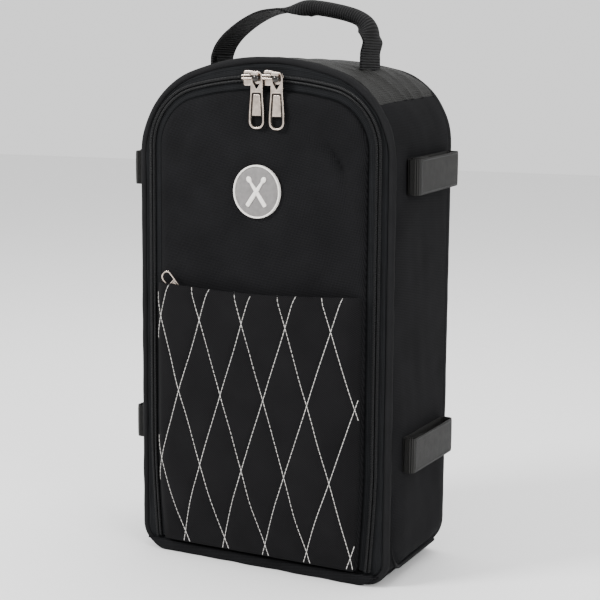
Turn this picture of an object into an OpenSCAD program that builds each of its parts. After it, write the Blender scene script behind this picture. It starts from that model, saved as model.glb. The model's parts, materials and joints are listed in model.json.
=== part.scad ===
// Drum stick bag: a padded upright case with a full-height zipped lid, a quilted
// front pocket, four webbing loops on the sides and a webbing carry handle.
// Frame: origin at the middle of the base on the floor, +Z up, front towards -Y.

/* [Case] */
// Width across the sides
body_w = 252; // [200:1:320]
// Height of the case without the handle
body_h = 450; // [370:1:560]
// Depth from the lid's face to the back panel
body_d = 128; // [100:1:170]
// Radius of the shoulders, seen from the front
shoulder_r = 76; // [50:1:90]
// Radius of the shallow crown between the shoulders
crown_r = 240; // [200:1:400]
// Radius of the two bottom corners, seen from the front
foot_r = 22; // [18:1:30]
// Height of the base panel's turned-up edge
boot_h = 10; // [6:0.5:14]
// Depth below the top at which the side gussets meet the top gusset
top_seam_drop = 40; // [25:1:60]

/* [Walls] */
// Thickness of the outer fabric
shell_t = 1.5; // [1:0.1:2.5]
// Thickness of the foam padding
foam_t = 6; // [3:0.5:8]
// Thickness of the lining
lining_t = 1; // [0.5:0.1:1.5]
// Diameter of the piping cord around the front edge
piping_d = 6; // [4:0.5:7]
// Width of the binding around the back edge
binding_w = 6; // [4:0.5:8]

/* [Lid] */
// Distance from the case's side to the lid's edge
band_side = 24; // [20:0.5:30]
// Distance from the case's top to the lid's edge
band_top = 28; // [22:0.5:36]
// Radius of the lid's upper corners
lid_shoulder_r = 44; // [30:1:60]
// Radius of the lid's crown
lid_crown_r = 300; // [260:1:420]
// Radius of the lid's lower corners
lid_foot_r = 4; // [2:0.5:8]

/* [Zippers] */
// Distance from the lid's edge to the middle of the main chain
chain_out = 10; // [8:0.5:12]
// Width of the main coil chain
chain_w = 7; // [5:0.5:8]
// Height of the main coil above its tape
coil_t = 2.5; // [1.5:0.1:3]
// Thickness of the zipper tapes
tape_t = 1; // [0.6:0.1:1.4]
// Distance of the main tape behind the lid's face
tape_setback = 6.5; // [6:0.1:7]
// Size of the pocket zipper next to the main zipper
pocket_zip_scale = 0.72; // [0.6:0.02:0.76]
// Width of each pocket zipper tape
pocket_tape_w = 8; // [7:0.5:9]

/* [Sliders] */
// Length of a main slider along its chain
slider_l = 18; // [16:0.5:20]
// Width of a main slider across its chain
slider_w = 13; // [11:0.5:14]
// Thickness of a main slider's body
slider_t = 3.6; // [3.4:0.1:4]
// Distance between the two main sliders
slider_pitch = 19.6; // [18.4:0.2:30]
// Length of a main pull below its post
pull_l = 43; // [36:1:50]
// Width of a main pull at its round end
pull_w = 15; // [13:0.5:16]
// Thickness of a main pull
pull_t = 1.8; // [1.4:0.1:2]
// Distance from the pocket's left seam to its slider
pocket_slider_in = 31; // [30:1:40]
// Angle at which the pocket pull leans away from hanging down
pocket_pull_angle = 135; // [130:1:145]

/* [Pocket] */
// Height of the pocket's mouth above the floor
pocket_h = 251; // [200:1:280]
// Distance that the pocket stands out from the lid
pocket_depth = 12.5; // [12:0.5:18]
// Thickness of the quilted pocket front
pocket_t = 3; // [2:0.5:4]
// Height over which the pocket swells out above the base
pocket_swell = 38; // [30:1:60]

/* [Badge] */
// Diameter of the round badge
badge_d = 46; // [36:1:56]
// Width of the badge's raised rim
badge_rim_w = 2.5; // [1.5:0.5:4]
// Height of the badge's centre above the pocket's mouth
badge_rise = 84.5; // [60:0.5:100]

/* [Webbing loops] */
// Width of the loop webbing
loop_w = 30; // [20:1:40]
// Thickness of the webbing
web_t = 1.6; // [1.2:0.1:2.2]
// Free gap inside a loop
loop_gap = 9.4; // [6:0.2:14]
// Distance from the lid's face to the loops' front fold
loop_front_in = 28; // [24:1:36]
// Distance from the back panel to the loops' rear fold
loop_back_in = 11; // [9:1:20]
// Distance from the top down to the middle of the upper loops
loop_upper_drop = 97; // [90:1:120]
// Height of the middle of the lower loops above the floor
loop_lower_z = 114; // [50:1:140]

/* [Handle] */
// Distance between the handle's two ends
handle_span = 150; // [120:1:170]
// Height of the strap above its pivots
handle_rise = 45; // [38:1:60]
// Width of the handle webbing at its ends
handle_w = 36; // [30:1:40]
// Thickness of the handle webbing
handle_t = 2.2; // [1.6:0.1:2.8]
// Width of the folded grip
grip_w = 18; // [16:0.5:24]
// Thickness of the folded grip
grip_t = 6.4; // [5:0.2:9]

/* [Stick sleeves] */
// Number of sleeves side by side on the back wall
sleeve_count = 4; // [2:1:5]
// Height of the sleeves' mouths above the floor
sleeve_h = 262; // [200:1:300]
// Depth of a sleeve from its panel to the back lining
sleeve_depth = 17; // [12:0.5:22]
// Thickness of the sleeve fabric
sleeve_t = 1.2; // [0.8:0.1:2]
// Height of the binding along the sleeves' mouths
sleeve_binding_h = 12; // [8:1:16]

/* [Hidden] */

black = "#26272a";
dark_grey = "#3a3b3d";
nickel = "#b9b3aa";
badge_grey = "#8f8b88";
off_white = "#dedbd4";

gap = 0.3;                                  // running gap between bodies
seam_gap = 0.3;                             // gap between the two halves of a chain
y_front = -body_d / 2;                      // the lid's face
y_back = body_d / 2;                        // the back panel's face
wall_t = shell_t + foam_t + lining_t;
y_tape = y_front + tape_setback;            // front of the main tapes
y_rim = y_tape + piping_d;                  // front edge of the gussets
y_bind = y_back - binding_w;                // rear edge of the gussets
y_inner_back = y_back - wall_t;
y_boot = y_front + shell_t;                 // front of the base panel's turned-up edge
lid_w = body_w - 2 * band_side;
lid_z = boot_h + gap;
lid_h = body_h - band_top - lid_z;
top_seam_z = body_h - top_seam_drop;
far = 2 * body_h;

arc_steps = 10;
foot_steps = 5;

// Points on an arc about c, from angle a0 to a1, without the ends that trim leaves out
function arc(c, r, a0, a1, steps, trim = 0) =
    [for (i = [trim:steps - trim]) let (a = a0 + (a1 - a0) * i / steps) c + r * [cos(a), sin(a)]];

// Outline with straight sides, round shoulders, a shallow crown and round feet, inset by d
function arch(w, h, shoulder, crown, foot, d) =
    let (
        cx = w / 2 - shoulder,
        cz = h - crown + sqrt(pow(crown - shoulder, 2) - cx * cx),
        lean = asin(cx / (crown - shoulder)),
        heel = max(foot - d, 0.3)
    )
    concat(
        arc([w / 2 - d - heel, d + heel], heel, -90, 0, foot_steps),
        arc([cx, cz], shoulder - d, 0, 90 - lean, arc_steps),
        arc([0, h - crown], crown - d, 90 - lean, 90 + lean, arc_steps, 1),
        arc([-cx, cz], shoulder - d, 90 + lean, 180, arc_steps),
        arc([d + heel - w / 2, d + heel], heel, 180, 270, foot_steps)
    );

// Height of the case's outline above the floor at a distance x from the middle
function case_top(x) =
    let (
        cx = body_w / 2 - shoulder_r,
        cz = body_h - crown_r + sqrt(pow(crown_r - shoulder_r, 2) - cx * cx),
        join = crown_r * cx / (crown_r - shoulder_r)
    )
    x < join
        ? body_h - crown_r + sqrt(crown_r * crown_r - x * x)
        : cz + sqrt(shoulder_r * shoulder_r - pow(x - cx, 2));

// Flat profile in X and Z, made solid from y0 to y1
module slab(y0, y1) {
    translate([0, y1, 0]) rotate([90, 0, 0]) linear_extrude(y1 - y0) children();
}

module case_shape(d) { polygon(arch(body_w, body_h, shoulder_r, crown_r, foot_r, d)); }

module case_ring(d0, d1) {
    difference() {
        case_shape(d0);
        case_shape(d1);
    }
}

module lid_shape(d) {
    translate([0, lid_z]) polygon(arch(lid_w, lid_h, lid_shoulder_r, lid_crown_r, lid_foot_r, d));
}

module above(z) { translate([-far / 2, z]) square(far); }
module below(z) { translate([-far / 2, z - far]) square(far); }

// The stretch of the wall on one side, between the base panel and the top gusset
module side_only(side) {
    intersection() {
        children();
        above(boot_h);
        below(top_seam_z);
        mirror([side < 0 ? 1 : 0, 0]) translate([0, -far / 2]) square(far);
    }
}

module top_only() {
    intersection() {
        children();
        above(top_seam_z);
    }
}

module base_only() {
    intersection() {
        children();
        below(boot_h);
    }
}

// ---- Case shell --------------------------------------------------------------------

module back_panel() {
    color(black) slab(y_back - shell_t, y_back) case_shape(binding_w);
}

module back_foam() {
    color(dark_grey) slab(y_back - shell_t - foam_t, y_back - shell_t) case_shape(binding_w);
}

module back_lining() {
    color(dark_grey) slab(y_inner_back, y_inner_back + lining_t) case_shape(shell_t + foam_t);
}

module gusset(side) {
    color(black) slab(y_rim, y_bind) side_only(side) case_ring(0, shell_t);
}

module top_gusset() {
    color(dark_grey) slab(y_rim, y_bind) top_only() case_ring(0, shell_t);
}

module foam_side(side) {
    color(dark_grey) slab(y_rim, y_inner_back + lining_t)
        side_only(side) case_ring(shell_t, shell_t + foam_t);
}

module foam_top() {
    color(dark_grey) slab(y_rim, y_inner_back + lining_t)
        top_only() case_ring(shell_t, shell_t + foam_t);
}

module base_panel() {
    color(black) {
        slab(y_boot, y_bind) base_only() case_ring(0, shell_t);
        slab(y_boot, y_boot + shell_t) base_only() case_shape(0);
    }
}

module base_board() {
    color(dark_grey) slab(y_boot + shell_t, y_inner_back + lining_t)
        base_only() case_ring(shell_t, shell_t + foam_t);
}

module wall_lining() {
    color(dark_grey) slab(y_rim, y_inner_back) case_ring(shell_t + foam_t, wall_t);
}

module front_piping() {
    color(black) slab(y_tape, y_rim) intersection() {
        case_ring(0, piping_d);
        above(boot_h);
    }
}

module back_binding() {
    color(black) slab(y_bind, y_back) case_ring(0, binding_w);
}

// ---- Main zipper -------------------------------------------------------------------

coil_w = (chain_w - seam_gap) / 2;
chain_z0 = boot_h + 2 * gap;

module case_zipper_tape() {
    color(black) slab(y_tape, y_tape + tape_t) intersection() {
        difference() {
            case_shape(piping_d);
            lid_shape(-chain_out - seam_gap / 2);
        }
        above(boot_h);
    }
}

module case_zipper_coil() {
    color(black) slab(y_tape - coil_t, y_tape) intersection() {
        difference() {
            lid_shape(-chain_out - chain_w / 2);
            lid_shape(-chain_out - seam_gap / 2);
        }
        above(chain_z0);
    }
}

module lid_zipper_tape() {
    color(black) slab(y_tape, y_tape + tape_t) intersection() {
        difference() {
            lid_shape(-chain_out + seam_gap / 2);
            lid_shape(0);
        }
        above(chain_z0);
    }
}

module lid_zipper_coil() {
    color(black) slab(y_tape - coil_t, y_tape) intersection() {
        difference() {
            lid_shape(-chain_out + seam_gap / 2);
            lid_shape(-chain_out + chain_w / 2);
        }
        above(chain_z0);
    }
}

// ---- Lid ---------------------------------------------------------------------------

module lid_panel() { color(black) slab(y_front, y_front + shell_t) lid_shape(0); }

module lid_foam() {
    color(dark_grey) slab(y_front + shell_t, y_front + shell_t + foam_t) lid_shape(0);
}

module lid_lining() {
    color(dark_grey) slab(y_front + shell_t + foam_t, y_front + wall_t) lid_shape(0);
}

// ---- Front pocket ------------------------------------------------------------------

pocket_z0 = lid_z + 2;                      // lower seam of the pocket
pocket_foot = 4;                            // how far the pocket stands out at that seam
pocket_seam_in = 1;                         // inset of its side seams from the lid's edge

// Section in Y and Z of the swelling pocket, shrunk by t and open upwards to z1
module pocket_section(t, z1) {
    rotate([90, 0, 90]) translate([0, 0, -far / 2]) linear_extrude(far)
        polygon([
            [y_front, pocket_z0 + t],
            [y_front - pocket_foot + t / 2, pocket_z0 + t],
            [y_front - pocket_depth + t, pocket_z0 + pocket_swell],
            [y_front - pocket_depth + t, z1],
            [y_front, z1]
        ]);
}

module pocket_front() {
    color(black) difference() {
        intersection() {
            pocket_section(0, pocket_h);
            slab(y_front - pocket_depth, y_front) lid_shape(pocket_seam_in);
        }
        intersection() {
            pocket_section(pocket_t, pocket_h + 1);
            slab(y_front - pocket_depth, y_front + 1) lid_shape(pocket_seam_in + pocket_t);
        }
    }
}

pocket_chain_z = pocket_h - 13;
pocket_chain_x = lid_w / 2 - pocket_seam_in - pocket_t;
pocket_coil_w = coil_w * pocket_zip_scale;
pocket_coil_t = coil_t * pocket_zip_scale * 0.83;
pocket_tape_t = 0.8;

module pocket_strip(z0, z1, y0, y1) {
    translate([-pocket_chain_x, y0, z0]) cube([2 * pocket_chain_x, y1 - y0, z1 - z0]);
}

module pocket_zipper_tape() {
    half_gap = seam_gap / 2;
    z_lip = pocket_chain_z - pocket_tape_w;
    color(black) {
        pocket_strip(pocket_chain_z + half_gap, pocket_chain_z + pocket_tape_w,
            y_front - pocket_tape_t, y_front);
        pocket_strip(z_lip, pocket_chain_z - half_gap, y_front - pocket_tape_t, y_front);
        pocket_strip(z_lip, z_lip + pocket_tape_t,
            y_front - pocket_depth + pocket_t, y_front - pocket_tape_t);
    }
}

module pocket_zipper_coil() {
    color(black) for (side = [-1, 1])
        translate([0, 0, pocket_chain_z + side * (seam_gap + pocket_coil_w) / 2])
            pocket_strip(-pocket_coil_w / 2, pocket_coil_w / 2,
                y_front - pocket_tape_t - pocket_coil_t, y_front - pocket_tape_t);
}

// ---- Badge -------------------------------------------------------------------------

badge_z = pocket_h + badge_rise;
badge_face_t = 2;
badge_rim_t = 3;
stick_l = badge_d * 0.62;

module badge_face() {
    color(badge_grey) translate([0, 0, badge_z]) slab(y_front - badge_face_t, y_front)
        circle(d = badge_d - 2 * badge_rim_w, $fn = 64);
}

module badge_rim() {
    color(off_white) translate([0, 0, badge_z]) slab(y_front - badge_rim_t, y_front)
        difference() {
            circle(d = badge_d, $fn = 64);
            circle(d = badge_d - 2 * badge_rim_w, $fn = 64);
        }
}

// One drum stick with its round tip, pointing up
module stick_shape() {
    translate([-1.3, -stick_l / 2]) square([2.6, stick_l - 2.5]);
    translate([0, stick_l / 2 - 2.4]) circle(r = 2.1, $fn = 24);
}

module badge_emblem() {
    color(off_white) translate([0, 0, badge_z])
        slab(y_front - badge_rim_t, y_front - badge_face_t)
            for (a = [-35, 35]) rotate(a) stick_shape();
}

// ---- Zipper sliders and pulls ------------------------------------------------------
// A slider lies along X with its post at the origin. Its body starts at y = 0 and
// everything stands out towards -Y.

pull_y = slider_t + 0.6;                    // gap behind the pull
arch_y = pull_y + pull_t + 0.4;             // gap between the pull and the arch
arch_t = 1.9;
arch_w = 2.6;
post_r = 1.2;
post_in = slider_l / 2 - 4;                 // distance from the slider's middle to its post
eye_top = 4.2;                              // height of the pull above its post
eye_w = 10.4;
foot_near = norm([eye_w / 2, eye_top]) + 0.5;
foot_l = 2;

module slider() {
    color(nickel) translate([-post_in, 0, 0]) {
        slab(-slider_t, 0) polygon([
            [-slider_l / 2, -slider_w / 2],
            [-slider_l / 6, -slider_w / 2],
            [slider_l / 2 - 2, -slider_w / 3],
            [slider_l / 2, -slider_w / 3 + 2],
            [slider_l / 2, slider_w / 3 - 2],
            [slider_l / 2 - 2, slider_w / 3],
            [-slider_l / 6, slider_w / 2],
            [-slider_l / 2, slider_w / 2]
        ]);
    }
    color(nickel) {
        rotate([90, 0, 0]) cylinder(r = post_r, h = arch_y + arch_t / 2, $fn = 32);
        translate([-foot_near - foot_l, -arch_y - arch_t, -arch_w / 2])
            cube([foot_l, arch_y + arch_t, arch_w]);
        translate([-foot_near - foot_l, -arch_y - arch_t, -arch_w / 2])
            cube([foot_near + foot_l, arch_t, arch_w]);
        translate([0, -arch_y, 0]) rotate([90, 0, 0]) cylinder(r = 2, h = arch_t, $fn = 32);
    }
}

pull_neck_z = -pull_l * 0.33;
pull_end_r = pull_w / 2;
pull_end_z = -pull_l + pull_end_r;
pull_hole_r = pull_end_r - 2.2;
panel_top_z = -12.5;
panel_bottom_z = pull_end_z + 7;
recess_t = 0.4;

// A pull hanging down from a post at the origin
module pull() {
    color(nickel) difference() {
        slab(-pull_y - pull_t, -pull_y) difference() {
            union() {
                polygon([
                    [-eye_w / 2, eye_top], [-eye_w / 2, 0], [-eye_w / 2 - 0.4, pull_neck_z],
                    [-pull_end_r, pull_end_z], [pull_end_r, pull_end_z],
                    [eye_w / 2 + 0.4, pull_neck_z], [eye_w / 2, 0], [eye_w / 2, eye_top]
                ]);
                translate([0, pull_end_z]) circle(r = pull_end_r, $fn = 48);
            }
            polygon([[-3.2, 2.3], [-3.2, -3], [0, -9], [3.2, -3], [3.2, 2.3]]);
            intersection() {
                translate([0, pull_end_z]) circle(r = pull_hole_r, $fn = 48);
                below(pull_end_z + 3.4);
            }
            translate([-pull_hole_r, pull_end_z]) square([2 * pull_hole_r, 3.4]);
        }
        slab(-pull_y - pull_t - 1, -pull_y - pull_t + recess_t) polygon([
            [-3.4, panel_top_z], [-pull_hole_r + 1, panel_bottom_z],
            [pull_hole_r - 1, panel_bottom_z], [3.4, panel_top_z]
        ]);
    }
}

chain_r = lid_crown_r + chain_out;          // radius of the chain over the crown
chain_centre_z = lid_z + lid_h - lid_crown_r;
y_slider = y_tape - coil_t - gap;
slider_pair_x = 4.6;                        // middle of the pair of sliders
left_post_x = slider_pair_x - slider_pitch / 2 + post_in;
right_post_x = left_post_x + slider_pitch;

// Puts a post on the crown's chain at distance x from the middle; tilt follows the chain
module on_chain(x, tilt) {
    a = asin(x / chain_r);
    translate([x, y_slider, chain_centre_z + chain_r * cos(a)]) rotate([0, tilt ? a : 0, 0])
        children();
}

module slider_left() { on_chain(left_post_x, true) slider(); }
module slider_right() { on_chain(right_post_x, true) slider(); }
module pull_left() { on_chain(left_post_x, false) pull(); }
module pull_right() { on_chain(right_post_x, false) pull(); }

pocket_post_x = -lid_w / 2 + pocket_slider_in;

module on_pocket_chain() {
    translate([pocket_post_x, y_front - pocket_tape_t - pocket_coil_t - gap, pocket_chain_z])
        scale(pocket_zip_scale) children();
}

module pocket_slider() { on_pocket_chain() mirror([1, 0, 0]) slider(); }
module pocket_pull() { on_pocket_chain() rotate([0, pocket_pull_angle, 0]) pull(); }

// ---- Webbing loops -----------------------------------------------------------------

loop_bend_r = 5;
loop_y0 = y_front + loop_front_in;
loop_y1 = y_back - loop_back_in;
loop_out = loop_gap + 2 * web_t;

// Round-cornered rectangle from the case's side outwards, inset by d
module loop_shape(d) {
    x0 = body_w / 2 + loop_bend_r;
    x1 = body_w / 2 + loop_out - loop_bend_r;
    polygon(concat(
        arc([x1, loop_y0 + loop_bend_r], loop_bend_r - d, -90, 0, foot_steps),
        arc([x1, loop_y1 - loop_bend_r], loop_bend_r - d, 0, 90, foot_steps),
        arc([x0, loop_y1 - loop_bend_r], loop_bend_r - d, 90, 180, foot_steps),
        arc([x0, loop_y0 + loop_bend_r], loop_bend_r - d, 180, 270, foot_steps)
    ));
}

module loop(side, z) {
    color(dark_grey) mirror([side < 0 ? 1 : 0, 0, 0]) translate([0, 0, z - loop_w / 2])
        linear_extrude(loop_w) difference() {
            loop_shape(0);
            loop_shape(web_t);
        }
}

loop_upper_z = body_h - loop_upper_drop;

// ---- Handle ------------------------------------------------------------------------

end_r = 10;                                 // round lower end of each strap leg
pivot_z = case_top(handle_span / 2) + end_r + 1;
flare_h = 12;                               // height over which a leg widens to the full strap
tab_t = 2.2;
tab_rise = 4;                               // how far a tab reaches above the pivot

// The strap's middle line over the pivots, in half spans across and rises up
handle_route = [
    [-1, -end_r / handle_rise], [-1, 0.15], [-0.98, 0.32], [-0.83, 0.53], [-0.64, 0.78],
    [-0.4, 0.96], [-0.08, 1], [0.24, 0.96], [0.6, 0.85], [0.86, 0.73], [1, 0.54],
    [1.03, 0.3], [1, 0.12], [1, -end_r / handle_rise]
];
grip_first = 6;                             // the grip runs between these two route points
grip_last = 9;
route_steps = 4;

function route_point(i) =
    let (p = handle_route[min(max(i, 0), len(handle_route) - 1)])
    [p[0] * handle_span / 2, pivot_z + p[1] * handle_rise];

// Smooth curve through the route points, from point first to point last
function route(first, last) = [
    for (k = [first * route_steps:last * route_steps])
        let (
            i = min(floor(k / route_steps), last - 1),
            t = k / route_steps - i,
            a = route_point(i - 1),
            b = route_point(i),
            c = route_point(i + 1),
            d = route_point(i + 2)
        )
        0.5 * (2 * b + t * (c - a) + t * t * (2 * a - 5 * b + 4 * c - d)
            + t * t * t * (3 * b - 3 * c + d - a))
];

function side_step(path, i) =
    let (
        d = path[min(i + 1, len(path) - 1)] - path[max(i - 1, 0)]
    )
    [-d[1], d[0]] / norm(d);

// Band of thickness t along a path
function band(path, t) = concat(
    [for (i = [0:len(path) - 1]) path[i] + side_step(path, i) * t / 2],
    [for (i = [len(path) - 1:-1:0]) path[i] - side_step(path, i) * t / 2]
);

// One wide leg of the strap, narrowed and rounded towards its pivot
module strap_leg(first, last) {
    intersection() {
        slab(-handle_w / 2, handle_w / 2) polygon(band(route(first, last), handle_t));
        translate([-far / 2, 0, pivot_z]) rotate([90, 0, 90]) linear_extrude(far) union() {
            circle(r = end_r, $fn = 48);
            polygon([
                [-end_r, 0], [end_r, 0], [handle_w / 2, flare_h],
                [handle_w / 2, 2 * handle_rise], [-handle_w / 2, 2 * handle_rise],
                [-handle_w / 2, flare_h]
            ]);
        }
    }
}

module handle_strap() {
    color(dark_grey) {
        strap_leg(0, grip_first);
        strap_leg(grip_last, len(handle_route) - 1);
        slab(-grip_w / 2 + handle_t, grip_w / 2 - handle_t)
            polygon(band(route(grip_first, grip_last), handle_t));
    }
}

module handle_grip() {
    color(dark_grey) difference() {
        slab(-grip_w / 2, grip_w / 2) polygon(band(route(grip_first, grip_last), grip_t));
        slab(-grip_w / 2 + handle_t, grip_w / 2 - handle_t)
            polygon(band(route(grip_first, grip_last), handle_t));
    }
}

// Webbing tab sewn to the top gusset beside a leg, which hangs on its inner side
module handle_anchor(side) {
    x1 = handle_span / 2 - handle_t / 2 - gap;
    color(dark_grey) mirror([side < 0 ? 1 : 0, 0, 0]) slab(-end_r, end_r) difference() {
        translate([x1 - tab_t, pivot_z - 2 * end_r]) square([tab_t, 2 * end_r + tab_rise]);
        case_shape(0);
    }
}

// ---- Stick sleeves inside ----------------------------------------------------------

y_sleeve = y_inner_back - sleeve_depth;     // rear face of the sleeve panel
sleeve_w = body_w - 2 * wall_t;
sleeve_pitch = (sleeve_w - sleeve_t) / sleeve_count;
sleeve_hem = 0.6;                           // binding thickness on each face

module sleeve_region(z0, z1) {
    intersection() {
        case_shape(wall_t);
        above(z0);
        below(z1);
    }
}

module sleeve_panel() {
    color(dark_grey) slab(y_sleeve - sleeve_t, y_sleeve) sleeve_region(0, sleeve_h - sleeve_hem);
}

module sleeve_dividers() {
    color(dark_grey) slab(y_sleeve, y_inner_back) intersection() {
        sleeve_region(0, sleeve_h - sleeve_binding_h);
        for (i = [0:sleeve_count])
            translate([-sleeve_w / 2 + i * sleeve_pitch, 0]) square([sleeve_t, far]);
    }
}

module sleeve_binding() {
    color(black) difference() {
        slab(y_sleeve - sleeve_t - sleeve_hem, y_sleeve + sleeve_hem)
            sleeve_region(sleeve_h - sleeve_binding_h, sleeve_h);
        slab(y_sleeve - sleeve_t, y_sleeve) sleeve_region(0, sleeve_h - sleeve_hem);
    }
}

back_panel();
back_foam();
back_lining();
gusset(-1);  // gusset_left
gusset(1);  // gusset_right
top_gusset();
foam_side(-1);  // foam_left
foam_side(1);  // foam_right
foam_top();
base_panel();
base_board();
wall_lining();
front_piping();
back_binding();
case_zipper_tape();
case_zipper_coil();
loop(-1, loop_upper_z);  // loop_upper_left
loop(1, loop_upper_z);  // loop_upper_right
loop(-1, loop_lower_z);  // loop_lower_left
loop(1, loop_lower_z);  // loop_lower_right
handle_anchor(-1);  // handle_anchor_left
handle_anchor(1);  // handle_anchor_right
sleeve_panel();
sleeve_dividers();
sleeve_binding();
lid_panel();
lid_foam();
lid_lining();
lid_zipper_tape();
lid_zipper_coil();
pocket_front();
pocket_zipper_tape();
pocket_zipper_coil();
badge_face();
badge_rim();
badge_emblem();
slider_left();
pull_left();
slider_right();
pull_right();
pocket_slider();
pocket_pull();
handle_strap();
handle_grip();
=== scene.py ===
"""Looks of the drum stick bag: soft goods, zippers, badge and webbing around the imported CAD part.

Shapes are worked out in millimetres and turned into metres when a mesh is made. An outline or path
runs in X and Z, as seen from the front. A grid of points has one row for each step along its path.
"""

import json
import math

import bmesh
import bpy
import numpy as np
from mathutils import Matrix, Vector


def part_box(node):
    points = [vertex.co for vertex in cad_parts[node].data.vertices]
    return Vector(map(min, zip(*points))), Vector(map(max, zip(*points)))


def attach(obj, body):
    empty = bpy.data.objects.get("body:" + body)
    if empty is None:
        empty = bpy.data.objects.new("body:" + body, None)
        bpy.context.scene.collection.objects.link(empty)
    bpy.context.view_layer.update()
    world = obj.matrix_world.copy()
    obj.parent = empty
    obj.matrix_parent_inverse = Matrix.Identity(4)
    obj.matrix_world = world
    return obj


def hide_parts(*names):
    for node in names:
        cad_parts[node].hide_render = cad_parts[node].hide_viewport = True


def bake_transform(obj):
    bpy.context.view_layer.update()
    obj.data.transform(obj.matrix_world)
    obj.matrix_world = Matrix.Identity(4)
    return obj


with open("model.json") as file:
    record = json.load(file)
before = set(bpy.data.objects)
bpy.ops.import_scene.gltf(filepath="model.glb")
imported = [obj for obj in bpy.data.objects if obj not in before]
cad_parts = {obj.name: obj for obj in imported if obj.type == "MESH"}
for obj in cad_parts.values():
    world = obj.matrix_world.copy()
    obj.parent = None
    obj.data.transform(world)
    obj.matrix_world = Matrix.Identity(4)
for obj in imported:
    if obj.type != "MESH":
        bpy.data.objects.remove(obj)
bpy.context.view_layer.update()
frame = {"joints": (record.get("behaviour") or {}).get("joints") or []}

MM = 0.001
TAU = 2 * math.pi


def limits(node):
    """Lowest and highest corners of a CAD node in millimetres."""
    low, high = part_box(node)
    return np.array(low) / MM, np.array(high) / MM


def joint_at(name):
    """Place of a joint in millimetres."""
    return next(np.array(joint["pos_m"]) / MM for joint in frame["joints"] if joint["name"] == name)


# ---- Sizes read from the CAD part ---------------------------------------------------

HALF_W = limits("gusset_right")[1][0]
TOP = limits("top_gusset")[1][2]
Y_BACK = limits("back_panel")[1][1]
Y_RIM, Y_BIND = limits("gusset_right")[0][1], limits("gusset_right")[1][1]
Y_TAPE = limits("case_zipper_tape")[0][1]
Y_LID = limits("lid_panel")[0][1]
Y_LID_IN = limits("lid_foam")[1][1]
Y_BOOT = limits("base_panel")[0][1]
Y_POCKET = limits("pocket_front")[0][1]
Y_IN_BACK = limits("back_lining")[0][1]
BOOT_H = limits("base_panel")[1][2]
SEAM_Z = limits("gusset_right")[1][2]
LID_HALF = limits("lid_panel")[1][0]
LID_Z0, LID_Z1 = limits("lid_panel")[0][2], limits("lid_panel")[1][2]
WALL = HALF_W - limits("wall_lining")[1][0]
LINING = limits("back_lining")[1][1] - Y_IN_BACK
CHAIN_OUT = limits("lid_zipper_tape")[1][0] - LID_HALF
CHAIN_HALF = limits("case_zipper_coil")[1][0] - limits("lid_zipper_tape")[1][0]
PIPING = limits("front_piping")[1][1] - limits("front_piping")[0][1]

# Rounding of the outline, seen from the front: at the front edge, at the back edge and round the lid
FRONT = dict(half=HALF_W, height=TOP, shoulder=80, crown=222, foot=22)
BACK = dict(half=HALF_W, height=TOP - 0.5, shoulder=68, crown=320, foot=33)
LID = dict(half=LID_HALF, height=LID_Z1 - LID_Z0, shoulder=44, crown=300, foot=4, base=LID_Z0)

# Points on each stretch of the right half of an outline
FLOOR_N, HEEL_N, SIDE_N, SHOULDER_N, CROWN_N = 34, 12, 120, 40, 30


# ---- Curves and fields --------------------------------------------------------------

def smooth(a, b, x):
    """0 below a, 1 above b, and an S curve between."""
    t = np.clip((x - a) / (b - a), 0, 1)
    return t * t * (3 - 2 * t)


def swell(x):
    """Quarter-round rise from 0 to 1."""
    return np.sqrt(1 - (1 - np.clip(x, 0, 1)) ** 2)


def hump(x, at, wide):
    """Bell-shaped bump of height 1 about at."""
    return np.exp(-((x - at) / wide) ** 2)


def blunt(value, power):
    """A power that keeps the sign; on a sine and a cosine it squares a circle off."""
    return np.sign(value) * np.abs(value) ** power


def around(steps):
    """Angles evenly round a circle."""
    return np.linspace(0, TAU, steps, endpoint=False)


def unit(ways):
    return ways / np.linalg.norm(ways, axis=-1, keepdims=True)


def points(*axes):
    """Points from their coordinates, each of them a number, a row, a column or a grid."""
    return np.stack(np.broadcast_arrays(*axes), -1)


def mix(a, b, t):
    """Grid between matching points of a and b, with a column for each share in t."""
    t = t[None, :, None]
    return a[:, None] * (1 - t) + b[:, None] * t


def ripples(seed, size, count=18):
    """Smooth random field of about -1 to 1, whose bumps are about size millimetres apart."""
    rng = np.random.default_rng(seed)
    ways = rng.normal(size=(count, 3))
    ways *= (TAU / size * rng.uniform(0.55, 1.5, count) / np.linalg.norm(ways, axis=1))[:, None]
    phases = rng.uniform(0, TAU, count)
    return lambda p: np.cos(p @ ways.T + phases).sum(-1) * math.sqrt(1 / count)


def turn(centre, radius, a0, a1, count):
    """Arc without its last point."""
    a = np.linspace(a0, a1, count + 1)[:-1]
    return np.stack([centre[0] + radius * np.cos(a), centre[1] + radius * np.sin(a)], 1)


def line(a, b, count):
    """Straight run without its last point."""
    t = np.linspace(0, 1, count + 1)[:-1, None]
    return np.array(a) * (1 - t) + np.array(b) * t


def arch(half, height, shoulder, crown, foot, inset=0.0, base=0.0):
    """Closed outline from the bottom middle round by the right side, inset all round."""
    cx = half - shoulder
    cz = height - crown + math.sqrt((crown - shoulder) ** 2 - cx * cx)
    tilt = math.asin(cx / (crown - shoulder))
    heel = max(foot - inset, 0.3)
    right = np.vstack([
        line((0, inset), (half - inset - heel, inset), FLOOR_N),
        turn((half - inset - heel, inset + heel), heel, -math.pi / 2, 0, HEEL_N),
        line((half - inset, inset + heel), (half - inset, cz), SIDE_N),
        turn((cx, cz), shoulder - inset, 0, math.pi / 2 - tilt, SHOULDER_N),
        turn((0, height - crown), crown - inset, math.pi / 2 - tilt, math.pi / 2, CROWN_N),
        [(0, height - inset)],
    ])
    left = right[-2:0:-1] * (-1, 1)
    return np.vstack([right, left]) + (0, base)


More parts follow.
